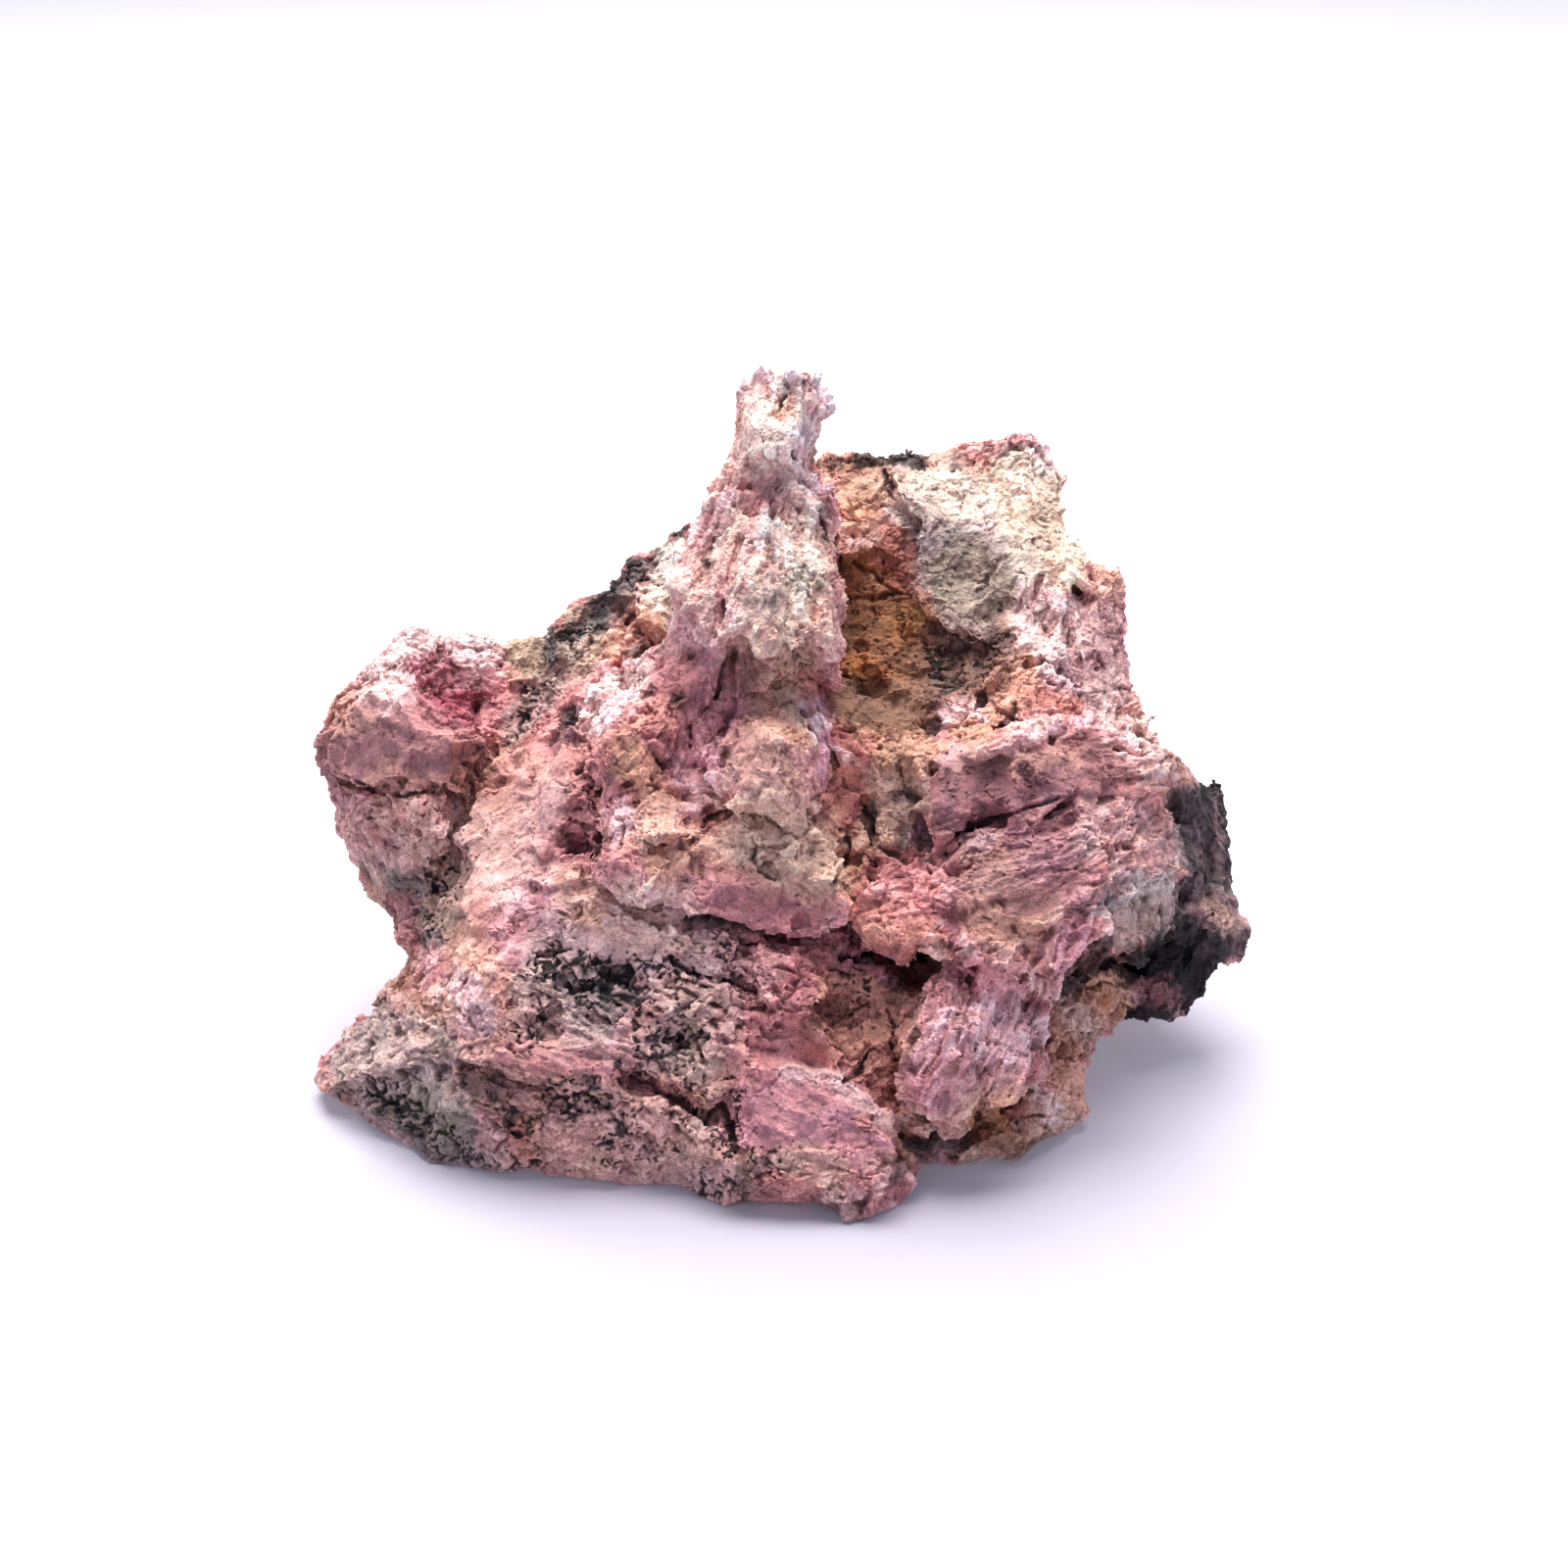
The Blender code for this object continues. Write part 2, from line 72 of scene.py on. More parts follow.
camera = bpy.data.objects.new("eye", bpy.data.cameras.new("eye"))
camera.data.sensor_width = SENSOR
camera.data.lens = SENSOR * EYE_DISTANCE / (PHOTO_SIDE * PIXEL)
camera.data.clip_start = 0.01
camera.matrix_world = Matrix.Translation(EYE * MM) @ Matrix((RIGHT, UP, NEAR)).transposed().to_4x4()
bpy.context.scene.collection.objects.link(camera)
bpy.context.scene.camera = camera
print("lens", round(camera.data.lens, 1), "mm,", EYE_DISTANCE, "mm from the stone")

# %% From a pixel to the stone, and back
solid = bpy.data.objects[STONE]
solid_tree = BVHTree.FromPolygons(
    [tuple(vertex.co) for vertex in solid.data.vertices],
    [tuple(face.vertices) for face in solid.data.polygons],
)


def touch(x, y, tree=solid_tree):
    """Where the line of sight through a pixel meets the stone, in mm. A near miss gives its nearest point."""
    aim = RIGHT * (x - PHOTO_SIDE / 2) * PIXEL + UP * (PHOTO_SIDE / 2 - y) * PIXEL - NEAR * EYE_DISTANCE
    hit = tree.ray_cast(Vector(EYE * MM), Vector(aim).normalized())[0]
    if hit is None:
        hit = tree.find_nearest(Vector((EYE + aim) * MM))[0]
    return np.array(hit) / MM


def in_photo(points):
    """The place of points in the photograph, in mm at the stone's middle: right, up and nearness."""
    offset = points - EYE
    distance = -(offset @ NEAR)
    scale = EYE_DISTANCE / distance
    return np.stack([(offset @ RIGHT) * scale, (offset @ UP) * scale, EYE_DISTANCE - distance], axis=1)


print("the spire's tip is at", touch(800, 385).round(1), "mm")

# %% [markdown]
# ## Tools for the surface
# Blender's own textures are fast and varied, so the sculpting reads them too, not only the materials. A tiny
# Geometry Nodes group stores what a texture gives at each point, and the script takes the numbers back.


# %% Add a node
def add_node(tree, kind, settings=None, **inputs):
    """Adds a node. Its settings are properties, and its inputs are numbers, or sockets to link from."""
    node = tree.nodes.new(kind)
    for name, value in (settings or {}).items():
        setattr(node, name, value)
    for name, value in inputs.items():
        sockets = [socket for socket in node.inputs if socket.enabled]
        named = [socket for socket in sockets if socket.identifier == name]
        named = named or [socket for socket in sockets if socket.name == name.replace("_", " ")]
        if isinstance(value, bpy.types.NodeSocket):
            tree.links.new(value, named[0])
        else:
            named[0].default_value = value
    return node


# %% Read a texture at points
def read_texture(points, kind, wanted, settings=None, **inputs):
    """What a texture node gives at each point: one array of three columns for each wanted output."""
    mesh = bpy.data.meshes.new("probe")
    mesh.vertices.add(len(points))
    mesh.vertices.foreach_set("co", np.ascontiguousarray(points, dtype=np.float32).ravel())
    group = bpy.data.node_groups.new("probe", "GeometryNodeTree")
    for way in ("INPUT", "OUTPUT"):
        group.interface.new_socket("Geometry", in_out=way, socket_type="NodeSocketGeometry")
    flow = add_node(group, "NodeGroupInput").outputs[0]
    place = add_node(group, "GeometryNodeInputPosition").outputs[0]
    texture = add_node(group, kind, settings, Vector=place, **inputs)
    for name in wanted:
        store = add_node(
            group, "GeometryNodeStoreNamedAttribute", {"data_type": "FLOAT_VECTOR", "domain": "POINT"},
            Geometry=flow, Name=name, Value=texture.outputs[name],
        )
        flow = store.outputs[0]
    add_node(group, "NodeGroupOutput", Geometry=flow)
    probe = bpy.data.objects.new("probe", mesh)
    bpy.context.scene.collection.objects.link(probe)
    probe.modifiers.new("probe", "NODES").node_group = group
    made = probe.evaluated_get(bpy.context.evaluated_depsgraph_get()).data
    results = []
    for name in wanted:
        values = np.empty(len(points) * 3, dtype=np.float32)
        made.attributes[name].data.foreach_get("vector", values)
        results.append(values.reshape(-1, 3))
    bpy.data.objects.remove(probe)
    bpy.data.meshes.remove(mesh)
    bpy.data.node_groups.remove(group)
    return results


# %% Soft noise, and space that drifts or is stretched
def noise(points, size, seed, detail=3.0):
    """Soft noise from about -1 to 1, with lumps of a size in mm."""
    scaled = points / size + seed * 7.3
    return read_texture(scaled, "ShaderNodeTexNoise", ["Fac"], Scale=1.0, Detail=detail)[0][:, 0] * 4 - 2


def drift(points, size, reach, seed):
    """Moves points about by noise, so that what is measured from them gets a ragged edge."""
    scaled = points / size + seed * 5.1
    colour = read_texture(scaled, "ShaderNodeTexNoise", ["Color"], Scale=1.0, Detail=3.0)[0]
    return points + (colour - 0.5) * 4 * reach


def squeeze(points, along, length):
    """Space that is shortened along a direction, so that a texture on it comes out as long fibres."""
    along = np.asarray(along, dtype=float)
    along = along / np.linalg.norm(along)
    return points - np.outer(points @ along, along) * (1 - 1 / length)


# %% Broken cells and the cracks between them
def chips(points, size, seed):
    """Broken faces: each cell of the stone is cut by a tilted plane of its own. About -1 to 1."""
    scaled = points / size + seed * 3.7
    colour, centre = read_texture(scaled, "ShaderNodeTexVoronoi", ["Color", "Position"], Scale=1.0)
    return ((scaled - centre) * (colour * 2 - 1)).sum(axis=1) + (colour[:, 0] - 0.5)


def seams(points, size, seed):
    """How far each point is from the nearest border between the cells of a cracked crust, in cells."""
    scaled = points / size + seed * 4.9
    settings = {"feature": "DISTANCE_TO_EDGE"}
    return read_texture(scaled, "ShaderNodeTexVoronoi", ["Distance"], settings, Scale=1.0)[0][:, 0]


# %% Press patches flat
TURN_SHARE = 0.7


def flattening(points, normals, size, seed):
    """Moves that press each patch of the surface onto a plane of its own, as if the stone had broken there."""
    scaled = points / size + normals * TURN_SHARE + seed * 2.3
    centre = read_texture(scaled, "ShaderNodeTexVoronoi", ["Position"], Scale=1.0)[0]
    # Points with the same middle lie on one face. One whole number stands for each middle.
    keys = np.round(centre.astype(float) * 500).astype(np.int64) @ np.array((1, 100003, 10000600009))
    face = np.unique(keys, return_inverse=True)[1]
    count = np.bincount(face)
    middle = np.stack([np.bincount(face, weights=points[:, i]) / count for i in range(3)], axis=1)
    way = np.stack([np.bincount(face, weights=normals[:, i]) for i in range(3)], axis=1)
    way /= np.maximum(np.linalg.norm(way, axis=1), 1e-9)[:, None]
    height = ((points - middle[face]) * way[face]).sum(axis=1)
    return -way[face] * height[:, None]


def limited(moves, most):
    """The same moves, none of them longer than a limit in mm."""
    length = np.linalg.norm(moves, axis=1)
    return moves * np.minimum(1, most / np.maximum(length, 1e-9))[:, None]


def ramp(values, low, high):
    """0 below low, 1 above high, and a smooth rise between."""
    part = np.clip((values - low) / (high - low), 0, 1)
    return part * part * (3 - 2 * part)


# %% Read and move the points of a mesh
def points_of(mesh):
    """The points of a mesh, in mm."""
    values = np.empty(len(mesh.vertices) * 3, dtype=np.float32)
    mesh.vertices.foreach_get("co", values)
    return values.reshape(-1, 3).astype(float) / MM


def move_to(mesh, points):
    """Moves the points of a mesh to new places in mm."""
    mesh.vertices.foreach_set("co", (points * MM).astype(np.float32).ravel())
    mesh.update()


def normals_of(mesh):
    """Which way is outward at each point of a mesh."""
    values = np.empty(len(mesh.vertices) * 3, dtype=np.float32)
    mesh.vertex_normals.foreach_get("vector", values)
    return values.reshape(-1, 3).astype(float)


def edges_of(mesh):
    """The pairs of points that the edges of a mesh join."""
    values = np.empty(len(mesh.edges) * 2, dtype=np.int32)
    mesh.edges.foreach_get("vertices", values)
    return values.reshape(-1, 2)


# %% Calm a surface, and draw a new skin
def calmed(values, edges, times):
    """Each point is drawn towards the middle of its neighbours, again and again."""
    count = np.maximum(np.bincount(edges.ravel(), minlength=len(values)), 1)
    values = values.copy()
    for _ in range(times):
        for column in range(values.shape[1]):
            flow = values[:, column]
            total = np.bincount(edges[:, 0], weights=flow[edges[:, 1]], minlength=len(flow))
            total += np.bincount(edges[:, 1], weights=flow[edges[:, 0]], minlength=len(flow))
            values[:, column] = (flow + total / count) / 2
    return values


def modified(mesh, *modifiers):
    """The mesh as it is after some modifiers, each given by its kind and its settings."""
    holder = bpy.data.objects.new("holder", mesh)
    bpy.context.scene.collection.objects.link(holder)
    for kind, settings in modifiers:
        modifier = holder.modifiers.new(kind.lower(), kind)
        for name, value in settings.items():
            setattr(modifier, name, value)
    made = bpy.data.meshes.new_from_object(holder.evaluated_get(bpy.context.evaluated_depsgraph_get()))
    bpy.data.objects.remove(holder)
    return made


def new_skin(mesh, voxel):
    """A closed skin of even squares, a voxel in mm each, around the mesh."""
    return modified(mesh, ("REMESH", {"mode": "VOXEL", "voxel_size": voxel * MM}))


# %% [markdown]
# ## Named forms
# The ledges, cracks and pits that a collector would know this lump by are carved one at a time. Each is a
# short path of pixels. A crack sinks along its path. A ledge lifts the stone on one side of its path, the
# left side as the path is walked, lets it lean over the edge, and sinks the other side.


# %% Paths on the stone
STEP_PIXELS = 10


def path_points(pixels):
    """A path of pixels as close-set points on the stone."""
    marks = []
    for (x0, y0), (x1, y1) in zip(pixels, pixels[1:]):
        steps = max(1, round(math.hypot(x1 - x0, y1 - y0) / STEP_PIXELS))
        marks += [(x0 + (x1 - x0) * i / steps, y0 + (y1 - y0) * i / steps) for i in range(steps)]
    marks.append(pixels[-1])
    return np.array([touch(x, y) for x, y in marks])


DEPTH_SHARE = 0.35


def seen(points, depth_share=DEPTH_SHARE):
    """Points as the eye sees them, in mm. Depth counts for less: a form may lie before or behind its path."""
    return in_photo(points) * (1, 1, depth_share)


# %% Distances from a path
def near_box(points, path, reach):
    """Which points lie in the box around a path, to save measuring the others."""
    low = path.min(axis=0) - reach
    high = path.max(axis=0) + reach
    return np.nonzero(((points > low) & (points < high)).all(axis=1))[0]


def distance_to(points, path):
    """The distance of each point from a path of points in space, in mm."""
    if len(path) == 1:
        return np.linalg.norm(points - path[0], axis=1)
    best = np.full(len(points), np.inf)
    for start, end in zip(path, path[1:]):
        run = end - start
        part = np.clip((points - start) @ run / max(run @ run, 1e-9), 0, 1)
        best = np.minimum(best, np.linalg.norm(points - start - part[:, None] * run, axis=1))
    return best


def side_of(points, path):
    """How far points are to the left of a path, as the eye sees them. Minus is to the right."""
    flat = in_photo(points)[:, :2]
    line = in_photo(path)[:, :2]
    best = np.full(len(points), np.inf)
    signed = np.zeros(len(points))
    for start, end in zip(line, line[1:]):
        run = end - start
        part = np.clip((flat - start) @ run / max(run @ run, 1e-9), 0, 1)
        offset = flat - start - part[:, None] * run
        distance = np.linalg.norm(offset, axis=1)
        cross = run[0] * offset[:, 1] - run[1] * offset[:, 0]
        closer = distance < best
        best = np.where(closer, distance, best)
        signed = np.where(closer, np.sign(cross) * distance, signed)
    return signed


# %% Cracks, pits and lumps: width and depth in mm, then the path
CRACKS = [
    (0.25, 0.7, [(748, 590), (742, 606), (738, 626), (730, 650)]), (0.2, 0.4, [(782, 545), (788, 556), (800, 562)]),
    (0.2, 0.4, [(806, 600), (802, 620), (800, 640)]), (0.2, 0.4, [(800, 402), (796, 418)]),
    (0.25, 0.8, [(810, 468), (806, 458), (810, 446)]), (0.25, 0.6, [(838, 520), (840, 540), (846, 552)]),
    (0.2, 0.4, [(800, 535), (812, 535), (826, 534)]), (0.6, 2.6, [(1040, 828), (1022, 834), (1008, 839)]),
    (0.4, 1.8, [(1008, 839), (992, 846)]), (0.6, 1.8, [(992, 846), (972, 852)]),
    (0.35, 1.0, [(1040, 828), (1062, 820), (1082, 814)]),
    (0.5, 1.6, [(700, 938), (722, 936), (745, 944), (768, 952), (790, 956)]),
    (0.45, 1.3, [(790, 956), (815, 946), (842, 938), (862, 934)]),
    (0.5, 1.5, [(644, 1100), (672, 1112), (700, 1128), (720, 1143)]),
    (0.6, 1.4, [(720, 1143), (738, 1130), (745, 1150), (750, 1172)]),
    (0.4, 1.2, [(685, 978), (704, 990), (724, 997)]), (0.45, 1.2, [(739, 1001), (755, 1006), (770, 1012)]),
    (0.5, 1.3, [(352, 791), (366, 799), (383, 807)]), (0.35, 1.0, [(383, 807), (410, 812), (436, 808)]),
    (0.25, 0.9, [(746, 655), (737, 690), (730, 710), (718, 726), (703, 742)]),
    (0.5, 1.6, [(731, 796), (745, 808), (762, 816), (790, 817), (800, 828)]),
    (0.5, 1.8, [(744, 826), (728, 832), (718, 838)]), (0.3, 0.8, [(668, 766), (675, 778), (677, 790)]),
    (0.2, 0.4, [(632, 812), (656, 805), (680, 800)]), (0.3, 0.8, [(828, 706), (836, 730), (844, 758), (854, 782)]),
    (0.45, 1.5, [(850, 905), (862, 880), (866, 850)]),
    (0.55, 2.0, [(858, 977), (880, 980), (905, 982), (928, 975)]), (0.7, 2.0, [(880, 826), (888, 838), (890, 850)]),
    (0.35, 0.9, [(860, 1105), (878, 1090), (890, 1070)]),
    (0.25, 0.6, [(905, 1030), (914, 1048), (908, 1066), (918, 1090)]),
    (0.4, 1.0, [(604, 878), (622, 868), (640, 874)]), (0.35, 1.0, [(622, 876), (640, 890), (651, 898)]),
    (0.2, 0.3, [(806, 848), (818, 862), (820, 872)]), (0.2, 0.3, [(768, 868), (776, 888), (790, 896)]),
    (0.25, 0.5, [(1010, 716), (1022, 728), (1038, 736)]), (0.3, 0.6, [(1035, 716), (1030, 734), (1016, 742)]),
    (0.3, 0.8, [(903, 480), (904, 490), (912, 500)]), (0.3, 0.6, [(852, 548), (856, 566), (858, 590)]),
]
PITS = [
    (1.7, 1.3, [(846, 440), (842, 466)]), (2.2, 2.9, [(750, 392), (748, 420), (748, 444)]),
    (1.6, 1.2, [(756, 382)]), (1.6, 1.2, [(842, 384)]), (1.5, 2.0, [(850, 398), (848, 420), (842, 445)]),
    (1.4, 0.8, [(736, 486), (728, 500)]), (1.3, 0.5, [(782, 504), (794, 500)]),
    (1.6, 1.4, [(720, 492), (714, 506)]), (1.2, 0.8, [(740, 470)]), (1.3, 1.6, [(870, 600), (868, 640)]),
    (1.4, 1.8, [(856, 672), (850, 705)]), (1.8, 1.2, [(462, 702), (450, 704)]),
    (0.6, 0.9, [(758, 560), (745, 600), (738, 640)]), (0.6, 0.8, [(728, 560), (716, 600)]),
    (0.6, 0.9, [(788, 500), (776, 530), (768, 560)]), (0.5, 0.8, [(800, 600), (800, 640)]),
    (0.5, 0.7, [(840, 560), (842, 620)]), (0.9, 1.6, [(492, 721)]), (0.7, 1.3, [(486, 769)]),
    (0.6, 1.2, [(492, 790)]), (0.7, 1.3, [(477, 735)]), (1.0, 1.6, [(381, 823)]), (1.0, 2.2, [(582, 742)]),
    (0.9, 1.4, [(569, 765), (568, 774)]), (1.4, 0.6, [(584, 868), (606, 876), (630, 884)]),
    (0.4, 0.7, [(523, 944)]), (0.5, 1.2, [(703, 718), (713, 717)]), (1.3, 2.4, [(602, 1117)]),
    (1.2, 2.0, [(530, 1142)]), (1.0, 1.6, [(807, 1008)]), (1.6, 2.4, [(850, 1030), (870, 1040)]),
    (2.0, 3.4, [(944, 978), (960, 984)]), (0.7, 1.2, [(950, 741)]), (1.0, 2.2, [(888, 833)]),
    (0.6, 1.2, [(987, 1010)]), (0.6, 1.3, [(1023, 1021)]), (0.7, 1.5, [(1060, 1018), (1064, 1008)]),
    (1.4, 2.0, [(1110, 1000), (1124, 1008)]), (2.2, 3.0, [(1170, 966), (1196, 974), (1214, 962)]),
    (1.2, 2.0, [(640, 1096), (660, 1100)]), (1.2, 1.8, [(695, 1060), (708, 1070)]),
    (1.0, 1.6, [(575, 1000), (600, 1010)]), (1.0, 1.6, [(560, 1040)]), (0.9, 1.4, [(620, 990), (636, 1000)]),
    (1.0, 1.6, [(884, 700), (896, 704)]),
]
LUMPS = [
    (3.0, 2.6, [(588, 780), (592, 815)]), (2.2, 2.2, [(590, 846), (602, 866)]),
    (2.4, 1.0, [(400, 672), (428, 664)]), (1.8, 0.9, [(480, 672), (500, 680)]),
    (2.0, 1.0, [(520, 990), (505, 1020)]), (1.6, 0.9, [(476, 1000), (470, 1030)]),
    (2.4, 1.2, [(640, 730), (660, 745)]), (2.2, 1.2, [(636, 780), (650, 800)]),
    (2.2, 1.3, [(650, 860), (672, 872)]), (2.6, 1.2, [(770, 782), (790, 790)]),
    (1.6, 0.9, [(796, 735), (806, 760)]), (1.4, 0.7, [(776, 432), (786, 446)]),
    (1.2, 0.6, [(796, 440), (800, 458)]), (1.2, 0.5, [(780, 468)]), (1.2, 0.9, [(829, 521)]),
    (1.1, 1.1, [(1076, 830), (1086, 828)]), (2.0, 0.9, [(1080, 700), (1100, 716)]),
    (1.6, 0.9, [(1040, 690), (1054, 700)]), (1.8, 1.0, [(895, 925), (915, 945)]),
    (2.0, 0.8, [(985, 985), (1015, 990)]), (1.6, 0.8, [(1070, 960), (1082, 980)]),
    (1.6, 0.9, [(915, 800), (930, 830)]), (1.6, 0.8, [(1040, 1150), (1060, 1140)]),
    (1.4, 0.8, [(1000, 1170), (1012, 1182)]),
]

# %% Faces: lift in mm, how flat, how it breaks, its pigment and how much of it, then the outline
FACES = [
    # The spire's skirt and head, and the step below it
    (0.4, 0.0, "silky", "peach", 0.5, [
        (745, 505), (713, 522), (705, 560), (692, 594), (697, 614), (715, 640), (735, 655), (750, 643), (762, 641),
        (768, 659), (785, 660), (800, 643), (822, 641), (832, 660), (837, 680), (843, 650), (858, 620), (856, 590),
        (848, 555), (838, 520), (805, 495),
    ]),
    (0.0, 0.0, "rind", "blush", 0.5, [
        (762, 400), (785, 378), (825, 380), (842, 410), (834, 440), (822, 468), (806, 490), (765, 488), (756, 460),
    ]),
    (0.2, 0.7, "smooth", "brick", 0.4, [
        (657, 700), (675, 682), (700, 664), (733, 666), (735, 690), (720, 702), (698, 705), (680, 712),
    ]),
    (0.2, 0.6, "smooth", "milk", 0.9, [
        (682, 572), (692, 600), (688, 640), (668, 655), (654, 630), (652, 605), (668, 590),
    ]),
    # The left lobe and the shoulder
    (0.2, 0.5, "smooth", "mauve", 0.5, [
        (345, 745), (375, 735), (420, 745), (470, 745), (480, 765), (470, 790), (440, 800), (400, 798), (375, 800),
        (350, 788), (338, 765),
    ]),
    (0.0, 0.4, "broken", "tan", 0.3, [
        (355, 800), (385, 812), (440, 815), (465, 825), (455, 850), (420, 870), (390, 880), (370, 860), (358, 830),
    ]),
    (0.2, 0.5, "smooth", "pink", 0.3, [
        (515, 770), (560, 760), (590, 770), (570, 800), (560, 850), (545, 900), (520, 960), (480, 950), (470, 930),
        (485, 890), (500, 840),
    ]),
    # The boulders and blocks in the middle
    (1.2, 0.3, "smooth", "ash", 0.3, [
        (732, 795), (740, 768), (755, 745), (778, 738), (796, 752), (802, 778), (806, 803), (790, 812), (755, 808),
    ]),
    (0.8, 0.4, "rind", "sand", 0.6, [
        (748, 818), (790, 818), (820, 822), (840, 848), (856, 875), (862, 898), (845, 916), (812, 898), (790, 882),
        (768, 866), (750, 848),
    ]),
    (0.7, 0.85, "rind", "tan", 0.5, [(622, 757), (655, 752), (672, 765), (677, 787), (655, 800), (632, 797)]),
    (0.8, 0.7, "rind", "blush", 0.5, [
        (652, 838), (670, 812), (690, 818), (694, 842), (676, 862), (655, 880), (648, 860),
    ]),
    (-0.3, 0.7, "smooth", "amber", 0.5, [(655, 882), (676, 862), (694, 845), (690, 862), (672, 880), (660, 892)]),
    (0.2, 0.5, "smooth", "mauve", 0.6, [
        (702, 902), (745, 898), (800, 900), (850, 918), (838, 935), (812, 948), (790, 950), (768, 946), (745, 934),
        (720, 925),
    ]),
    (0.1, 0.6, "broken", "tan", 0.3, [
        (592, 905), (640, 902), (668, 918), (690, 935), (700, 960), (660, 962), (620, 955), (598, 945),
    ]),
    (0.2, 0.4, "broken", "pink", 0.5, [
        (762, 978), (775, 962), (800, 955), (830, 962), (846, 980), (842, 1005), (820, 1030), (800, 1038),
        (780, 1028), (768, 1005),
    ]),
    (0.7, 0.3, "rind", "sand", 0.6, [
        (897, 778), (945, 772), (950, 800), (942, 830), (938, 860), (915, 870), (896, 855), (892, 820),
    ]),
    (0.0, 0.7, "smooth", "amber", 0.5, [
        (852, 704), (880, 708), (905, 709), (936, 704), (926, 725), (902, 745), (880, 736), (858, 725),
    ]),
    (0.2, 0.5, "smooth", "mauve", 0.4, [
        (762, 1078), (800, 1082), (850, 1094), (885, 1118), (915, 1150), (905, 1190), (860, 1190), (810, 1180),
        (770, 1150), (755, 1110),
    ]),
    # The slab, the lump under it, the wing and the pink block
    (1.1, 0.9, "smooth", "wine", 0.8, [
        (948, 800), (948, 830), (965, 843), (985, 845), (1010, 835), (1040, 822), (1083, 812), (1110, 803),
        (1150, 806), (1190, 803), (1180, 790), (1165, 778), (1150, 768), (1130, 755), (1100, 745), (1075, 752),
        (1050, 757), (1020, 770), (1000, 772), (975, 775), (963, 778), (955, 790),
    ]),
    (0.5, 0.5, "smooth", "wine", 0.3, [
        (1000, 850), (1045, 838), (1080, 848), (1108, 842), (1122, 870), (1118, 892), (1106, 912), (1088, 925),
        (1075, 940), (1045, 950), (1010, 940), (985, 905), (965, 885), (985, 862),
    ]),
    (0.5, 0.4, "silky", "pink", 0.5, [
        (1118, 812), (1150, 816), (1186, 812), (1188, 860), (1192, 893), (1150, 890), (1122, 902), (1112, 880),
    ]),
    (0.4, 0.3, "silky", "mauve", 0.5, [
        (930, 1050), (950, 1010), (985, 1006), (1030, 1016), (1064, 1020), (1072, 1060), (1060, 1095), (1030, 1115),
        (1000, 1128), (960, 1142), (932, 1130),
    ]),
    # The grey wedge and the black oxide
    (0.4, 0.7, "broken", "grey", 0.8, [
        (1106, 938), (1128, 912), (1165, 893), (1193, 886), (1196, 925), (1168, 962), (1125, 972), (1108, 955),
    ]),
    (0.0, 0.7, "upright", "soot", 0.6, [(1200, 800), (1246, 812), (1254, 905), (1206, 902)]),
    (0.4, 0.5, "broken", "ash", 0.7, [(1204, 906), (1250, 908), (1268, 940), (1262, 955), (1215, 945)]),
]

